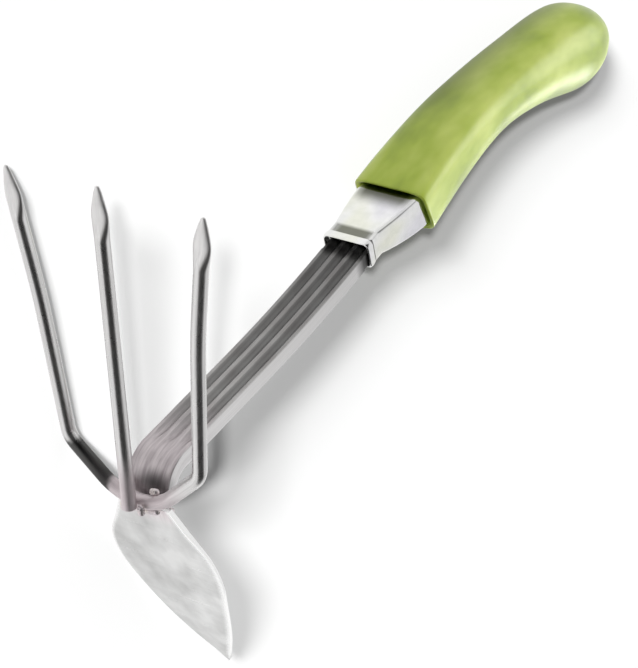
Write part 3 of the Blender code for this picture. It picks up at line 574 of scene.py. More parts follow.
# %% Ground steel
BLADE_TONE = (0.52, 0.52, 0.515)
BLADE_PALE = (0.76, 0.76, 0.755)
# Near-white tone of the bevel: ground steel and a painted highlight.
BEVEL_TONE = (0.97, 0.97, 0.965)
BEVEL_ROUGHNESS = (0.22, 0.22, 0.22)

finish = BLADE_STEEL = new_finish("blade_steel_ground", BLADE_TONE, 0.34, 1.0)
lines = finish.noise((1800, 40, 200), 4.0)
cloudy = finish.noise((55, 70, 70), 3.0, 0.55)
skin = finish.tinted(cloudy, (0.34, BLADE_TONE), (0.66, BLADE_PALE))
colour, roughness = heated(finish, skin, finish.rough(lines, 0.26, 0.44), WELDED_TONES)
# The bevel is painted near white and smoother: a ground edge and a painted highlight.
bevelled = finish.stored("hollow")
finish.show(finish.blended(bevelled, colour, BEVEL_TONE),
            finish.blended(bevelled, roughness, BEVEL_ROUGHNESS),
            (lines, 0.00002, 0.5), (cloudy, 0.0005, 0.25))

# %% [markdown]
# ## The leaf blade
# The blade is a leaf cut from sheet, bent towards the grip and slightly dished. Down the leaf its
# lean grows steadily, so the middle line is found by adding up short steps. A thickness is laid
# on both sides of it, and it thins to a ground bevel along the outline.

# %% Blade
BLADE_LENGTH = 0.0965
SKIN_MARGIN = 0.00005
BLADE_THICKNESS = 0.0020
BLADE_LAP = 0.012
BLADE_TIP_LEAN = math.radians(22.0)
BLADE_DISH = 0.0006
BLADE_WIDEST = 0.0446
BLADE_TIP_ROUND = 0.0040
LEAF_STATIONS = np.array([0, 0.10, 0.22, 0.36, 0.50, 0.80, 1.0]) * BLADE_LENGTH
LEAF_WIDTHS = [0.0216, 0.0310, 0.0430, BLADE_WIDEST, 0.0382, 0.0184, 0]
LEAF_END = 0.985
LEAF_CROWDING = 1.5
LEAF_LAST = np.array([1.5, 1.0]) * 2 * SKIN_MARGIN
BEVEL_WIDTH = 0.0021
BEVEL_MOST = 0.5
BEVEL_DROP = 0.0007
BEVEL_STEPS = np.array([0, 0.35, 0.7])
BACK_SHARE = 0.3
BARE_START = 0.6
BACK_EDGE_POWER = 4
LEAF_ROWS = 130
LEAF_COLUMNS = 41
LEAF_SUM_STEPS = 2000


def leaf_line(s):
    """X, Z and lean of the middle line: the lean grows evenly past the lap, steps are added up."""
    fine = np.linspace(0, BLADE_LENGTH, LEAF_SUM_STEPS)
    bend = np.clip((fine - BLADE_LAP) / (BLADE_LENGTH - BLADE_LAP), 0, 1)
    lean = LEG_LEAN + (BLADE_TIP_LEAN - LEG_LEAN) * bend
    start = leg_front(BLADE_TOP) - (BLADE_THICKNESS / 2 + GAP) / math.cos(LEG_LEAN)
    x = start + np.cumsum(np.sin(lean)) * fine[1]
    z = BLADE_TOP - np.cumsum(np.cos(lean)) * fine[1]
    return np.interp(s, fine, x), np.interp(s, fine, z), np.interp(s, fine, lean)


def leaf_half_width(s):
    """Half the leaf's width: a cubic through its widths, rounded at the tip by a square root."""
    point = np.sqrt(np.clip((BLADE_LENGTH - s) / BLADE_TIP_ROUND, 0, 1))
    return np.maximum(smooth_curve(LEAF_STATIONS, LEAF_WIDTHS, s), 0) / 2 * point


down_leaf = BLADE_LENGTH * (1 - (1 - np.linspace(0, LEAF_END, LEAF_ROWS)) ** LEAF_CROWDING)
down_leaf = join([down_leaf, BLADE_LENGTH - LEAF_LAST])
leaf_x, leaf_z, leaf_lean = leaf_line(down_leaf)
half = leaf_half_width(down_leaf)[:, None] - SKIN_MARGIN
bevel = np.minimum(BEVEL_WIDTH, BEVEL_MOST * half)
flat_part = np.linspace(-1, 1, LEAF_COLUMNS) * (half - bevel)
across = join([-half + bevel * BEVEL_STEPS, flat_part,
               half - bevel * BEVEL_STEPS[::-1]], axis=1)
bare = ease((down_leaf - BLADE_LAP * BARE_START) / BLADE_LAP)[:, None]
ground_edge = np.clip(1 - (half - np.abs(across)) / bevel, 0, 1)
thin = BEVEL_DROP * bare * ground_edge
front = BLADE_THICKNESS / 2 - thin
back = -BLADE_THICKNESS / 2 + thin * BACK_SHARE
leaf_y = join([across, across[:, ::-1]], axis=1)
leaf_off = join([front, back[:, ::-1]], axis=1)
dish = BLADE_DISH * (leaf_y / (BLADE_WIDEST / 2)) ** 2
leaf = grid(leaf_x[:, None] - leaf_off * np.cos(leaf_lean)[:, None] - dish, leaf_y,
            leaf_z[:, None] - leaf_off * np.sin(leaf_lean)[:, None])
make_piece("leaf_blade", leaf, grid(down_leaf[:, None], leaf_y, leaf_off), ["blade"],
           BLADE_STEEL,
           hollow=join([ground_edge, ground_edge[:, ::-1] ** BACK_EDGE_POWER], axis=1))

# %% [markdown]
# ## Drawn rod
# The prongs are drawn rod. Drawing leaves long shallow lines, forging the points leaves a duller,
# mottled skin near the tips, and welding leaves a rosy one at the crotch. A round bright rod
# mirrors a dark strip of the room as one long dark line.

# %% Rod steel
ROD_TONE = (0.56, 0.555, 0.55)
ROD_PALE = (0.79, 0.78, 0.775)
# Near-black colour of a painted dark reflection on one slope of the U.
PAINTED_DARK_TONE = (0.045, 0.045, 0.043)

finish = ROD_STEEL = new_finish("rod_steel_drawn", ROD_TONE, 0.2, 1.0)
lines = finish.noise((25, 1500, 1500), 4.0, 0.55)
mottled = finish.noise((260, 320, 320), 4.0)
forged = finish.stored("hollow", 0.85)
tone = finish.tinted(lines, (0.32, ROD_TONE), (0.70, ROD_PALE))
dull = finish.blended(forged, finish.rough(mottled, 0.25, 0.34), finish.rough(mottled, 0.48, 0.64))
colour, roughness = heated(finish, finish.blended(forged, tone, ROD_PALE), dull, WELDED_TONES,
                           0.66)
# Painted dark reflection on the slope of one arm of the U.
finish.show(finish.blended(finish.stored("painted_dark_slope", 0.93), colour, PAINTED_DARK_TONE), roughness,
            (lines, 0.00002, 0.4), (mottled, 0.00006, 0.2))

# %% [markdown]
# ## The prongs
# The outer prongs are one rod, bent into a wide U that crosses in front of the leg. The third is
# a straight rod in front of the crotch. A rod is a ring carried along its path, square to it. Near
# a point the ring is squeezed flat and wide and then drawn in to a narrow blunt end, as a smith
# would forge a small spear.

# %% Rods
ROD = 0.0052 / 2
SPEAR_LENGTH = 0.019
SPEAR_WIDTH = 0.0072
SPEAR_THICKNESS = 0.0026
ROD_SHARE = 2 * ROD / SPEAR_WIDTH
END_ROUND = 0.0006
ROD_COLUMNS = 36
ROD_STEP = 0.0012
CROP_STEPS = np.array([0, 0.04, 0.12, 0.25, 0.45, 0.7, 1.0]) * END_ROUND
SPEAR_STATIONS = [0, 0.05, 0.12, 0.22, 0.36, 0.55, 0.80, 1]
SPEAR_WIDTHS = np.array([0.165, 0.30, 0.445, 0.58, 0.78, 0.97, 0.89, ROD_SHARE]) * SPEAR_WIDTH
SPEAR_DEPTH_STATIONS = [0, 0.30, 0.60, 1]
SPEAR_DEPTHS = [0.0012, 0.9 * SPEAR_THICKNESS, SPEAR_THICKNESS, 2 * ROD]
END_SHARE = 0.02
FORGED_REACH = 1.15


def spear(distance):
    """Half width and half thickness at a distance from a point: cubics through a few sizes."""
    t = np.clip(distance / SPEAR_LENGTH, 0, 1)
    wide = smooth_curve(SPEAR_STATIONS, SPEAR_WIDTHS, t)
    return wide / 2, smooth_curve(SPEAR_DEPTH_STATIONS, SPEAR_DEPTHS, t) / 2


def closing(distance, reach):
    """Share of the full section near an end, which is rounded like a quarter circle."""
    t = np.clip(distance / reach, 0, 1)
    return np.sqrt(t * (2 - t))


def make_rod(name, path, lean, pointed, node):
    """Rod swept along a path: place plus cosine times sideways plus sine times the normal."""
    normal = np.array([-math.cos(lean), 0, math.sin(lean)])
    total = distance_along(path)[-1]
    places = join([CROP_STEPS, np.arange(2 * ROD_STEP, total - 2 * ROD_STEP, ROD_STEP),
                   total - CROP_STEPS[::-1]])
    line = evenly(path, places)
    sideways = np.cross(unit(np.gradient(line, places, axis=0)), normal)
    to_end = np.minimum(places, total - places)
    to_point = to_end if pointed == "both" else places
    wide, thick = spear(to_point)
    close = np.maximum(closing(to_end, END_ROUND), END_SHARE)
    u = np.cos(turns(ROD_COLUMNS)) * (wide * close)[:, None]
    v = np.sin(turns(ROD_COLUMNS)) * (thick * close)[:, None]
    rings = line[:, None] + u[..., None] * sideways[:, None] + v[..., None] * normal
    forged = ease(FORGED_REACH - to_point / SPEAR_LENGTH)[:, None] + 0 * u
    return make_piece(name, rings, grid(places[:, None], u, v), [node], ROD_STEEL,
                      hollow=forged)


# %% Outer prongs
TINE_LEAN = math.radians(9.1)
CROTCH_HEIGHT = -0.0105
CROTCH_RADIUS = 0.022
CROTCH_SLOPE = math.radians(42.0)
TINE_RADII = (0.300, 0.009)
SPREAD_BASE = 0.0279
SPREAD_MIDDLE = 0.0330
SPREAD_TIP = 0.0406
TINE_MIDDLE_HEIGHT = 0.060
OUTER_TIP_HEIGHT = 0.1067
BEND_STEPS = 24

crossing_rise = CROTCH_RADIUS - math.sqrt(CROTCH_RADIUS**2 - (BAR_WIDTH / 2) ** 2)
crossing_x = (leg_front(CROTCH_HEIGHT + crossing_rise) - (ROD + GAP) / math.cos(LEG_LEAN)
              - crossing_rise * math.tan(TINE_LEAN))
low_corner = CROTCH_HEIGHT - CROTCH_RADIUS * (1 / math.cos(CROTCH_SLOPE) - 1)
shoulder_height = low_corner + SPREAD_BASE * math.tan(CROTCH_SLOPE)
prong = [(SPREAD_TIP, OUTER_TIP_HEIGHT), (SPREAD_MIDDLE, TINE_MIDDLE_HEIGHT),
         (SPREAD_BASE, shoulder_height)]
mirrored = [(-y, z) for y, z in reversed(prong)]
flat = rounded_path(prong + [(0, low_corner)] + mirrored,
                    [*TINE_RADII, CROTCH_RADIUS, *reversed(TINE_RADII)], BEND_STEPS)
lean_x = crossing_x + (flat[:, 1] - CROTCH_HEIGHT) * math.tan(TINE_LEAN)
u_path = grid(lean_x, flat[:, 0], flat[:, 1])
outer_prongs = make_rod("outer_prongs", u_path, TINE_LEAN, "both", "outer_tines")

# %% [markdown]
# ## A painted dark stretch
# One slope of the U, up to where the rosy weld heat starts, is painted almost black: a painted
# dark reflection of a dark part of the room. Each point stores how dark it is painted: one between
# a place out along the arm and a height at its bend, and fading over a short way at both.

# %% Painted dark stretch
DARK_SLOPE_START = 0.0102
DARK_SLOPE_ABOVE_BEND = 0.0010
DARK_SLOPE_FADE = 0.0018

rod_places = tool_places(outer_prongs.data)
painted_dark_slope = (ease((rod_places[:, 1] - DARK_SLOPE_START) / DARK_SLOPE_FADE)
         * ease((shoulder_height + DARK_SLOPE_ABOVE_BEND - rod_places[:, 2]) / DARK_SLOPE_FADE))
store(outer_prongs.data, "painted_dark_slope", painted_dark_slope)
print("burnt points:", int((painted_dark_slope > 0.5).sum()))

# %% Centre prong
CENTER_LEAN = math.radians(10.6)
CENTER_TIP_HEIGHT = 0.1098
CENTER_FOOT = -0.0005

center_x = crossing_x - (2 * ROD + GAP) / math.cos((TINE_LEAN + CENTER_LEAN) / 2)
center_heights = np.array([CENTER_TIP_HEIGHT, CROTCH_HEIGHT - CENTER_FOOT])
center_path = grid(center_x + (center_heights - CROTCH_HEIGHT) * math.tan(CENTER_LEAN), 0.0,
                   center_heights)
center_prong = make_rod("center_prong", center_path, CENTER_LEAN, "first", "center_tine")

# %% [markdown]
# ## Weld metal
# A weld is a row of small frozen puddles, one over the last, and the heat leaves faint straw and
# violet tints beside it. The tint is one noise sent through a ramp of those oxide colours.

# %% Weld steel
WELD_TONE = (0.74, 0.68, 0.69)
WELD_STRAW = (0.72, 0.66, 0.61)
WELD_VIOLET = (0.58, 0.52, 0.555)

finish = WELD_STEEL = new_finish("weld_steel_tinted", WELD_TONE, 0.42, 1.0)
heat = finish.noise((420, 420, 420))
grit = finish.noise((3200, 3200, 3200))
finish.show(finish.tinted(heat, (0.30, WELD_VIOLET), (0.48, WELD_TONE), (0.68, WELD_STRAW)),
            finish.rough(grit, 0.32, 0.55), (grit, 0.00006, 0.6))

# %% [markdown]
# ## The weld beads
# Seven short beads hold the rods and the blade. A packed bead is a plain round rod, so a parabola
# through its points gives its middle line. Round that line goes a ring whose radius swells and
# shrinks from puddle to puddle, with a skew that makes the puddles lean.

# %% Beads
BEAD_RADIUS = 0.0013
BEAD_ROWS = 60
BEAD_COLUMNS = 28
BEAD_CROP = 0.1 * BEAD_RADIUS
BEAD_END_SHARE = 0.05
PUDDLE = 0.00115
PUDDLE_SWELL = 0.18
PUDDLE_LEAN = 0.0003
ALONG_Y, ALONG_Z = 1, 2


def bead_line(node, axis):
    """Middle line of a packed bead: each other coordinate is a parabola of the one along it."""
    places = tool_places(frame["nodes"][node].data)
    along = places[:, axis]
    at = np.linspace(along.min() + BEAD_CROP, along.max() - BEAD_CROP, BEAD_ROWS)
    return grid(*(np.polyval(np.polyfit(along, places[:, k], 2), at) if k != axis else at
                  for k in range(3)))


def make_bead(name, node, axis):
    """Bead of puddles: the ring's radius follows the sine of the distance along it."""
    line = bead_line(node, axis)
    run = distance_along(line)
    tangent = unit(np.gradient(line, axis=0))
    normal = unit(np.cross(tangent, [1.0, 0, 0]))
    sideways = np.cross(tangent, normal)
    angle = turns(BEAD_COLUMNS)
    phase = (run[:, None] + PUDDLE_LEAN * np.cos(angle)) / PUDDLE * math.pi
    swell = 1 - PUDDLE_SWELL + PUDDLE_SWELL * np.abs(np.sin(phase))
    close = closing(np.minimum(run, run[-1] - run), BEAD_RADIUS)
    size = BEAD_RADIUS * swell * np.maximum(close, BEAD_END_SHARE)[:, None]
    ring = (line[:, None] + (size * np.cos(angle))[..., None] * normal[:, None]
            + (size * np.sin(angle))[..., None] * sideways[:, None])
    make_piece(name, ring, ring, [node], WELD_STEEL)


for where in ("far", "near"):
    make_bead(f"prong_bead_{where}", f"tine_weld_{where}", ALONG_Y)
    make_bead(f"center_bead_{where}", f"center_weld_{where}", ALONG_Z)
    make_bead(f"blade_bead_{where}", f"blade_weld_{where}", ALONG_Z)
make_bead("blade_bead_front", "blade_weld_front", ALONG_Y)

# %% [markdown]
# ## Plated ferrule
# The collar and the ferrule are thin steel with bright plating. It shows the shallow waves of the
# pressing under it as a slow bump, hazy finger marks as a slow change of roughness, and a little
# warm and cool colour. The groove is painted dark olive as painted shade, and a band before the
# mouth of the grip as painted shade and a painted reflection of the grip's dark rim.

# %% Bright plating
CHROME = (0.86, 0.86, 0.85)
CHROME_HAZE = (0.79, 0.795, 0.78)
CHROME_WARM = (0.965, 0.97, 0.88)
CHROME_COOL = (0.90, 0.89, 0.95)
# Dark olive of the painted shade in the groove and along the grip's mouth.
OLIVE_PAINTED_SHADE = (0.060, 0.064, 0.038)

finish = BRIGHT_PLATING = new_finish("bright_plating", CHROME, 0.12, 1.0)
waves = finish.noise((70, 110, 110), 2.0, 0.4)
marks = finish.noise((240, 300, 300), 4.0)
hairs = finish.noise((3000, 60, 60))
slow = finish.noise((55, 90, 90), 1.0, 0.4)
clean = finish.tinted(marks, (0.35, CHROME_HAZE), (0.6, CHROME))
sheen = finish.tinted(slow, (0.32, CHROME_WARM), (0.5, WHITE), (0.68, CHROME_COOL))
bright = finish.blended(1.0, clean, sheen, "MULTIPLY")
# Painted shade in the groove and before the grip's mouth, also a painted reflection of its rim.
finish.show(finish.blended(finish.stored("hollow"), bright, OLIVE_PAINTED_SHADE),
            finish.ranged(marks, 0.35, 0.7, 0.09, 0.2),
            (hairs, 0.000008, 0.3), (waves, 0.0005, 0.3))

# %% [markdown]
# ## The collar and the ferrule
# Both are tubes pressed round the bar, so each is a closed loop of rings: along the outside, over
# the rear lip, back along the inside and over the front lip. A ring is a rectangle with round
# corners, drawn in by the wall for the inside. The ferrule flares towards the grip, and the groove
# across its top runs out before the corners, as a press would leave it.

# %% Sleeve sections
FERRULE_WALL = 0.0006
FERRULE_TOP = 0.0037
TOP_CORNER = 0.0024
BOTTOM_CORNER = 0.0014
FERRULE_FRONT_HALF = 0.0100
FERRULE_BOTTOM = -(BAR_THICKNESS - SEAT_STEP + GAP + FERRULE_WALL)
TOP_FADE = 0.0012
SIDE_FADE = 0.0028
SIDE_START = 0.6
SIDE_STEPS = 9
ROUND_STEPS = 10
LIP_STEPS = 7


def sleeve_rings(x, half, top, bottom, inset):
    """Rings of a rounded box round the bar at places along it, all drawn in by an inset.

    Between the corners the flat sides get points of their own, so that bumps and bends keep
    their shape there.
    """
    x, half, top, bottom, inset = (v[:, None, None] for v in (x, half, top, bottom, inset))
    radius = np.array([TOP_CORNER, TOP_CORNER, BOTTOM_CORNER, BOTTOM_CORNER])[:, None]
    middle_y = np.array([1, -1, -1, 1])[:, None] * (half - radius)
    top, bottom = top - TOP_CORNER, bottom + BOTTOM_CORNER
    middle_z = join([top, top, bottom, bottom], axis=1)
    angle = (np.arange(4)[:, None] + np.linspace(0, 1, ROUND_STEPS)) * math.pi / 2
    y = middle_y + (radius - inset) * np.cos(angle)
    z = middle_z + bar_lift(x) + (radius - inset) * np.sin(angle)
    rounds = grid(x, y, z)
    start, end = rounds[:, :, -1:], np.roll(rounds, -1, axis=1)[:, :, :1]
    share = np.linspace(0, 1, SIDE_STEPS + 1)[1:-1, None]
    return join([rounds, start + (end - start) * share], axis=2).reshape(len(x), -1, 3)


def make_sleeve(name, x, half, top, bottom, node, groove=None):
    """Tube wall as one closed loop of rings: outside, rear lip, inside, front lip.

    groove gives how deep the top is sunk along the sleeve, and how dark it is painted there,
    as painted shade. Both fade towards the sides.
    """
    outside = np.stack(np.broadcast_arrays(x, half, top, bottom, 0.0))
    inside = outside[:, -2:0:-1].copy()
    inside[4] = FERRULE_WALL
    turn = np.linspace(0, math.pi, LIP_STEPS)[1:-1]
    front, rear = (np.repeat(outside[:, [k]], len(turn), axis=1) for k in (0, -1))
    reach = FERRULE_WALL / 2 * (np.sin(turn) - 1)
    rear[0] += reach
    front[0] -= reach
    rear[4] = FERRULE_WALL / 2 * (1 - np.cos(turn))
    front[4] = rear[4][::-1]
    loop = join([outside[:, 1:-1], rear, inside, front], axis=1)
    rings = sleeve_rings(*loop)
    dark = 0.0
    if groove:
        drop = loop[2][:, None] - (rings[..., 2] - bar_lift(rings[..., 0]))
        inward = loop[1][:, None] - TOP_CORNER - np.abs(rings[..., 1])
        on_top = ease(inward / SIDE_FADE + SIDE_START) * ease(2 - drop / TOP_FADE)
        dark = np.interp(rings[..., 0], x, groove[1]) * on_top
        rings[..., 2] -= np.interp(rings[..., 0], x, groove[0]) * on_top
    return make_piece(name, rings, rings, [node], BRIGHT_PLATING, round_rows=True,
                      hollow=dark)


# %% Collar
COLLAR_LENGTH = 0.0032
COLLAR_ROLL = 0.0003
COLLAR_ROWS = 15

collar_x = np.linspace(BAR_REACH, BAR_REACH + COLLAR_LENGTH, COLLAR_ROWS)
swell = COLLAR_ROLL * np.sin(np.linspace(0, math.pi, COLLAR_ROWS)) ** 0.5
collar = make_sleeve("plated_collar", collar_x, FERRULE_FRONT_HALF + swell, FERRULE_TOP + swell,
                     FERRULE_BOTTOM - swell, "ferrule_collar")

# %% Ferrule
GROOVE_LENGTH = 0.0045
GROOVE_DEPTH = 0.0010
GROOVE_RISE = 0.0008
# Painted shade in the groove.
GROOVE_PAINTED_SHADE = 0.8
FERRULE_INSERT = 0.005
REAR_HALF = 0.0274 / 2
REAR_TOP = 0.0024
REAR_BOTTOM = -0.0116
FERRULE_FLARE = 1.4
FERRULE_ROWS = [9, 8, 27, 5]
MOUTH_PLACE = 0.159
# Painted shade and painted reflection of the grip's rim, in a band before the mouth.
MOUTH_PAINTED_SHADE_RUN = 0.0125
MOUTH_PAINTED_SHADE_MOST = 0.92
MOUTH_PAINTED_SHADE_SPEED = 1.5

groove_start = BAR_REACH + COLLAR_LENGTH + GAP
groove_end = groove_start + GROOVE_LENGTH
ferrule_x = spaced([groove_start, groove_end - GROOVE_RISE, groove_end, MOUTH_PLACE,
                    MOUTH_PLACE + FERRULE_INSERT], FERRULE_ROWS)
t = np.clip((ferrule_x - groove_end) / (MOUTH_PLACE - groove_end), 0, 1)
flare = FERRULE_FLARE * t + (1 - FERRULE_FLARE) * t * t
sunk = GROOVE_DEPTH * (1 - ease((ferrule_x - groove_end + GROOVE_RISE) / GROOVE_RISE))
# Painted shade: the groove, and a band that darkens towards the grip's mouth.
near_mouth = (ferrule_x - MOUTH_PLACE + MOUTH_PAINTED_SHADE_RUN) / MOUTH_PAINTED_SHADE_RUN
darkened = np.maximum(GROOVE_PAINTED_SHADE * sunk / GROOVE_DEPTH,
                      MOUTH_PAINTED_SHADE_MOST * ease(near_mouth * MOUTH_PAINTED_SHADE_SPEED))
fronts = np.array([[FERRULE_FRONT_HALF], [FERRULE_TOP], [FERRULE_BOTTOM]])
rears = np.array([[REAR_HALF], [REAR_TOP], [REAR_BOTTOM]])
ferrule = make_sleeve("plated_ferrule", ferrule_x, *(fronts + (rears - fronts) * flare), "ferrule",
                      (sunk, darkened))

# %% [markdown]
# ## Green plastic
# The grip is moulded in a glossy, slightly translucent green, with an orange-peel skin and slow
# drifts of colour. Some light enters the plastic and comes out beside where it went in, so its
# shaded side never goes black. The side that the tool is laid on is rougher, and painted darker
# as painted shade.

# %% Green plastic
GREEN_DEEP = (0.235, 0.325, 0.025)
GREEN = (0.43, 0.55, 0.060)
GREEN_PALE = (0.62, 0.73, 0.16)
# Dark green of the painted shade on the side the tool lies on.
GREEN_PAINTED_SHADE = (0.105, 0.145, 0.012)
LAID_SIDE_ROUGHNESS = (0.6, 0.6, 0.6)

finish = GREEN_PLASTIC = new_finish("green_plastic_moulded", GREEN, 0.28)
drift = finish.noise((28, 50, 50), 3.0, 0.5)
peel = finish.noise((900, 900, 900), 2.0, 0.4)
scuffs = finish.noise((300, 900, 900), 4.0)
tone = finish.tinted(drift, (0.32, GREEN_DEEP), (0.5, GREEN), (0.68, GREEN_PALE))
smooth = finish.ranged(scuffs, 0.35, 0.7, 0.30, 0.40)
# The side the tool lies on: colour blended to a painted shade, and a higher roughness.
finish.show(finish.blended(finish.stored("laid_side", 0.78), tone, GREEN_PAINTED_SHADE),
            finish.blended(finish.stored("laid_side"), smooth, LAID_SIDE_ROUGHNESS),
            (scuffs, 0.00001, 0.2), (peel, 0.00004, 0.3))
finish.fill(finish.end, {"Subsurface Weight": 0.25, "Subsurface Radius": (1.0, 1.2, 0.4),
                         "Subsurface Scale": 0.004, "Specular IOR Level": 0.3, "Coat Weight": 0.4,
                         "Coat Roughness": 0.32})

# %% [markdown]
# ## The grip
# The grip is a swollen tube that bends down towards the butt. Its middle line has a heading that
# changes smoothly, and short steps along it are added up. Its section is a superellipse: a high
# power near the mouth makes it almost a rectangle, and a power near two at the butt an oval. The
# dome closes like a quarter circle. The inside is the same shape drawn in by the wall, so the
# grip is one surface from the butt to the mouth and back inside.

# %% Grip shape
HANDLE_LENGTH = 0.1525
MOUTH_HEIGHT = 0.0014
GRIP_WALL = 0.0016
DOME_LENGTH = 0.031
HEADINGS = np.radians([-12.3, -5.2, 8.4, 15.8, 32.2])
WIDTH_STATIONS, WIDTHS = [0, 0.3, 0.65, 1], [0.0318, 0.0286, 0.0293, 0.0322]
DEPTH_STATIONS = [0, 0.2, 0.4, 0.6, 0.8, 1]
DEPTHS = [0.0204, 0.0236, 0.0236, 0.0289, 0.0356, 0.0332]
POWER_STATIONS, POWERS = [0, 0.12, 0.35, 1], [6.0, 4.2, 2.9, 2.2]
GRIP_COLUMNS = 96
BODY_ROWS, DOME_ROWS, LIP_ROWS = 110, 36, 7
GRIP_SUM_STEPS = 1200


def grip_line(s):
    """X, Z and heading of the middle line: cosines and sines of the heading added up."""
    stations = np.linspace(0, HANDLE_LENGTH, len(HEADINGS))
    fine = np.linspace(0, HANDLE_LENGTH, GRIP_SUM_STEPS)
    heading = smooth_curve(stations, HEADINGS, fine)
    between = (heading[1:] + heading[:-1]) / 2
    x, z = (join([[0], np.cumsum(wave(between) * fine[1])]) for wave in (np.cos, np.sin))
    return (MOUTH_PLACE + np.interp(s, fine, x), MOUTH_HEIGHT - np.interp(s, fine, z),
            smooth_curve(stations, HEADINGS, s))


def grip_rings(s, inset):
    """Superellipses square to the middle line: cosine and sine raised to two over the power."""
    u = s / HANDLE_LENGTH
    power = 2 / smooth_curve(POWER_STATIONS, POWERS, u)
    over = np.clip((s - HANDLE_LENGTH + DOME_LENGTH) / (DOME_LENGTH - inset), 0, 1)
    close = np.sqrt(np.maximum(1 - over**2, 0))
    x, z, heading = grip_line(s)
    angle = turns(GRIP_COLUMNS)[None, :] + math.pi / GRIP_COLUMNS

    def reach(wave, places, sizes):
        """Distance from the middle line, from the cosine or the sine of the angle."""
        size = (smooth_curve(places, sizes, u) / 2 - inset) * close
        return np.sign(wave) * np.abs(wave) ** power[:, None] * size[:, None]

    across = reach(np.cos(angle), WIDTH_STATIONS, WIDTHS)
    rise = reach(np.sin(angle), DEPTH_STATIONS, DEPTHS)
    points = grid(x[:, None] + rise * np.sin(heading)[:, None], across,
                  z[:, None] + rise * np.cos(heading)[:, None])
    return points, grid(s[:, None], across, rise)


# %% Grip
def toward_butt(inset, start):
    """Distances from the mouth that crowd where the dome closes."""
    turn = np.linspace(0, math.pi / 2, DOME_ROWS, endpoint=False)
    reach = DOME_LENGTH - inset
    plain = np.linspace(start, HANDLE_LENGTH - DOME_LENGTH, BODY_ROWS, endpoint=False)
    return join([plain, HANDLE_LENGTH - DOME_LENGTH + reach * np.sin(turn)])


lip_turn = np.linspace(0, math.pi, LIP_ROWS)[1:-1]
lip_reach = GRIP_WALL / 2
skin = toward_butt(0, lip_reach)[::-1]
lining = toward_butt(GRIP_WALL, lip_reach)
places = join([skin, lip_reach * (1 - np.sin(lip_turn)), lining])
insets = join([0 * skin + SKIN_MARGIN, GRIP_WALL / 2 * (1 - np.cos(lip_turn)),
               0 * lining + GRIP_WALL])
grip_points, grip_grain = grip_rings(places, insets)
grip = make_piece("green_grip", grip_points, grip_grain, ["handle_grip"],
                  GREEN_PLASTIC)

# %% [markdown]
# ## The side it is laid on
# Behind the mouth, the grip's far side, which the tool lies on, is rougher and painted darker as
# painted shade. Each point stores how much, from its place across and along the tool.

# %% Laid side
LAID_START = -0.008
LAID_FADE = 0.017
LAID_FRONT = 0.178
LAID_RUN = 0.036

grip_places = tool_places(grip.data)
# Share of the painted shade and the dullness, on the far side behind the mouth.
laid_side = (ease((grip_places[:, 1] - LAID_START) / LAID_FADE)
             * ease((grip_places[:, 0] - LAID_FRONT) / LAID_RUN))
store(grip.data, "laid_side", laid_side)
print("dull share of the grip:", round(float(laid_side.mean()), 3))

# %% [markdown]
# ## Pieces that stay as they were packed
# The inner handle and the pin through the tang are hidden by the grip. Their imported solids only
# need finishes, and these read the object's own place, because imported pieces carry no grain.

# %% Hidden pieces
CORE_TONE = (0.18, 0.22, 0.08)
CORE_DEEP = (0.15, 0.19, 0.06)
CORE_PALE = (0.24, 0.28, 0.11)
PIN_TONE = (0.45, 0.44, 0.43)
PIN_DEEP = (0.34, 0.33, 0.32)
PIN_PALE = (0.55, 0.54, 0.53)

core = new_finish("core_plastic_rough", CORE_TONE, 0.55)
cloudy = core.noise((60, 60, 60), 3.0, on_grain=False)
grit = core.noise((1400, 1400, 1400), 3.0, on_grain=False)
core.show(core.tinted(cloudy, (0.35, CORE_DEEP), (0.65, CORE_PALE)), core.rough(grit, 0.45, 0.65),
          (grit, 0.00006, 0.5))

pin = new_finish("pin_steel_turned", PIN_TONE, 0.35, 1.0)
rings = pin.noise((400, 400, 4000), 3.0, on_grain=False)
pin.show(pin.tinted(rings, (0.3, PIN_DEEP), (0.7, PIN_PALE)), pin.rough(rings, 0.28, 0.45),
         (rings, 0.00003, 0.5))

for node, finish, slot in (("handle_core", core, "core_plastic"), ("tang_pin", pin, "forged_steel")):
    packed = frame["nodes"][node]
    packed.data.materials.clear()
    packed.data.materials.append(finish.owner)
    print(node, "keeps its packed shape")

# %% [markdown]
# ## The floor
# The floor is a plain matt sheet. It throws little light back, so that it takes no green from the
# grip, and a faint glow that only the camera and the reflections see makes it pale. A dull
# surface gets still less light back from it, so that the underside of the grip is darker than its
# top, as it is over a real bench.

# %% Floor
FLOOR_HALF = 3.0
FLOOR_TONE = (0.25, 0.25, 0.25)
FLOOR_BOUNCE = 0.09
FLOOR_GLOW = 0.08

floor_mesh = bpy.data.meshes.new("floor")
corners = np.array([(-1, -1, 0), (1, -1, 0), (1, 1, 0), (-1, 1, 0)]) * FLOOR_HALF
floor_mesh.from_pydata(corners.tolist(), [], [(0, 1, 2, 3)])
floor = bpy.data.objects.new("floor", floor_mesh)
scene.collection.objects.link(floor)

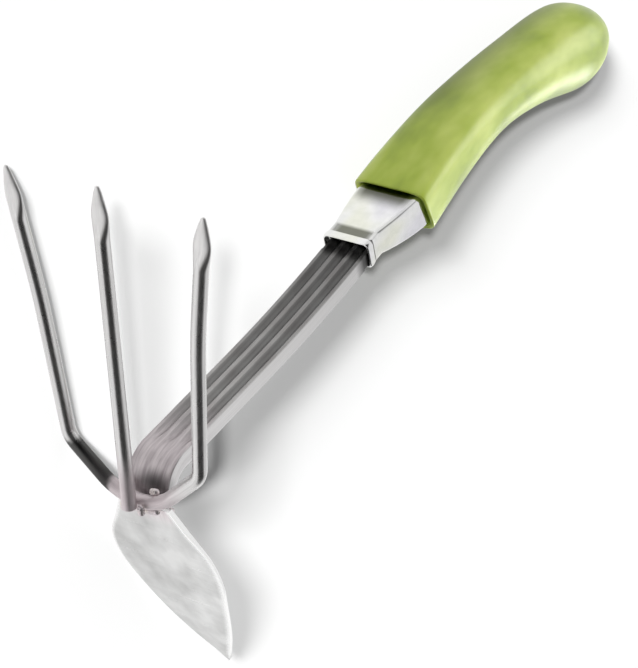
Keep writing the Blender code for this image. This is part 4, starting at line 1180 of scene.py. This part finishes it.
finish = new_finish("pale_floor", FLOOR_TONE, 0.9)
rays = finish.node("LightPath", 0, {}).node.outputs
shown = rays["Is Camera Ray"]
for kind in ("Is Glossy Ray", "Is Transmission Ray"):
    shown = finish.node("Math", "Value", {0: shown, 1: rays[kind]}, operation="MAXIMUM")
thrown_back = finish.ranged(rays["Is Diffuse Ray"], 0, 1, FLOOR_TONE[0], FLOOR_BOUNCE)
glow = finish.ranged(shown, 0, 1, 0, FLOOR_GLOW)
finish.fill(finish.end, {"Base Color": thrown_back, "Specular IOR Level": 0.0,
                         "Emission Color": WHITE, "Emission Strength": glow})
floor_mesh.materials.append(finish.owner)
print("floor:", 2 * FLOOR_HALF, "m wide,", len(finish.tree.nodes), "nodes")

# %% [markdown]
# ## The lamps
# A product picture is often lit piece by piece, and light linking does the same. Three lamps
# shine on the floor alone. The middle one throws the shadow of the whole tool. The high one, the
# sharpest, throws the short shadow beside each prong, and passes the bar and the blade. The low
# one throws the long soft shadow of the bar, the sleeves and the grip. Three softboxes light only
# the grip. A level says how bright a lamp makes a white surface: for a lamp on the floor, its
# power over pi times the sine of its height; for a softbox, its power over the square of pi times
# the distance. A size is the spread in degrees for the first kind, and the width for the second.

# %% Lamps
LAMP_DISTANCE = 1.5

centre = (np.array(cad_low) + np.array(cad_high)) / 2


def group(name, *pieces):
    """Collection of the pieces that a lamp lights, or that throw its shadow."""
    members = bpy.data.collections.new(name)
    for piece in pieces:
        members.objects.link(piece)
    return members


grip_lit = group("grip_lit", grip)
floor_lit = group("floor_lit", floor)
long_shade = group("long_shade", grip, ferrule, collar, bar)
short_shade = group("short_shade", grip, ferrule, collar, outer_prongs, center_prong)

for name, toward, size, level, lit, blockers in (
        ("middle_lamp", (-1.14, 1.32, 1.0), 9.0, 1.62, floor_lit, None),
        ("high_lamp", (-0.95, 0.90, 1.0), 3.5, 1.08, floor_lit, short_shade),
        ("low_lamp", (-1.36, 1.77, 1.0), 12.0, 0.72, floor_lit, long_shade),
        ("grip_front_softbox", (-0.35, 0.75, 0.56), 1.0, 0.36, grip_lit, None),
        ("grip_side_softbox", (0.47, -0.82, 0.27), 0.8, 0.66, grip_lit, None),
        ("grip_butt_softbox", (0.82, -0.24, 0.50), 0.9, 0.27, grip_lit, None)):
    toward = unit(np.array(toward))
    light = bpy.data.lights.new(name, "SUN" if lit == floor_lit else "AREA")
    if lit == floor_lit:
        light.angle = math.radians(size)
        light.energy = level * math.pi / toward[2]
    else:
        light.shape = "DISK"
        light.size = size
        light.energy = level * (math.pi * LAMP_DISTANCE) ** 2
    lamp = bpy.data.objects.new(name, light)
    scene.collection.objects.link(lamp)
    right = unit(np.cross([0, 0, 1.0], toward))
    turn = np.identity(4)
    turn[:3, :3] = np.stack([right, np.cross(toward, right), toward], axis=1)
    turn[:3, 3] = centre + toward * LAMP_DISTANCE
    lamp.matrix_world = Matrix(turn.tolist())
    lamp.light_linking.receiver_collection = lit
    lamp.light_linking.blocker_collection = blockers
    print(f"{name}: power {light.energy:.2f}")

# %% [markdown]
# ## The sky
# The metals are lit by the sky, because bright metal shows what stands round it. A studio hangs a
# black cloth, a flag, where the metal should show a dark line. Here the flag is a band of the sky
# with soft edges: the part close to a plane through the tool and on one side of it. Lamps and sky
# light a white thing to about white, so that each finish shows the colour it was given.

# %% Sky
SKY_LEVEL = 0.85
SKY_DARK = 0.04
FLAG_PLANE = (-0.768, 0.321, -0.555)
FLAG_EDGE = (0.42, 0.84)
FLAG_SIDE = (-0.55, -0.10, 0.83)
FLAG_END = (0.05, 0.45)

world = bpy.data.worlds.new("studio")
scene.world = world
sky = Threads(world, "Background")
place = sky.node("TexCoord", "Generated", {})


def sky_dot(direction):
    """Cosine between a place in the sky and a direction."""
    return sky.node("VectorMath", "Value", {0: place, 1: direction}, operation="DOT_PRODUCT")


def softly(value, edge, low, high):
    """Value carried smoothly from one range to another."""
    return sky.ranged(value, *edge, low, high, interpolation_type="SMOOTHSTEP")


from_plane = sky.node("Math", "Value", {0: sky_dot(FLAG_PLANE)}, operation="ABSOLUTE")
beside_flag = softly(from_plane, FLAG_EDGE, 0, 1)
past_flag = softly(sky_dot(FLAG_SIDE), FLAG_END, 1, 0)
open_sky = sky.node("Math", "Value", {0: beside_flag, 1: past_flag}, operation="MAXIMUM")
strength = softly(open_sky, (0, 1), SKY_DARK, SKY_LEVEL)
sky.fill(sky.end, {"Color": WHITE, "Strength": strength})
print("sky:", len(sky.tree.nodes), "nodes")

# %% [markdown]
# ## The camera
# The picture looks down at the head from in front and from the near side, through a long lens
# that keeps the grip from shrinking. The camera's place and its three directions are given in
# the tool's own axes, and carried to the world like any other point.

# %% Camera
CAMERA_PLACE = np.array([-0.55944, -0.57057, 0.63746])
CAMERA_RIGHT = np.array([0.5493, -0.8203, -0.1592])
CAMERA_DOWN = np.array([-0.5755, -0.2333, -0.7838])
FOCAL_PIXELS = 3000.0
IMAGE_HEIGHT = 668
SENSOR = 36.0

right = unit(CAMERA_RIGHT)
down_image = unit(CAMERA_DOWN - (CAMERA_DOWN @ right) * right)
pose = np.identity(4)
pose[:3, :3] = (np.stack([right, -down_image, -np.cross(right, down_image)]) @ AXES).T
pose[:3, 3] = to_world(CAMERA_PLACE)
camera = bpy.data.cameras.new("camera")
camera.sensor_width = SENSOR
camera.lens = FOCAL_PIXELS * SENSOR / IMAGE_HEIGHT
camera_object = bpy.data.objects.new("camera", camera)
scene.collection.objects.link(camera_object)
camera_object.matrix_world = Matrix(pose.tolist())
scene.camera = camera_object
scene.view_settings.view_transform = "Standard"
print(f"lens {camera.lens:.1f} mm")

# %% [markdown]
# ## Size
# The packed box is printed. The dressed tool must not be larger than the imported one.

# %% Size
print("packed box, mm:", [round(1000 * (b - a), 2) for a, b in zip(cad_low, cad_high)])
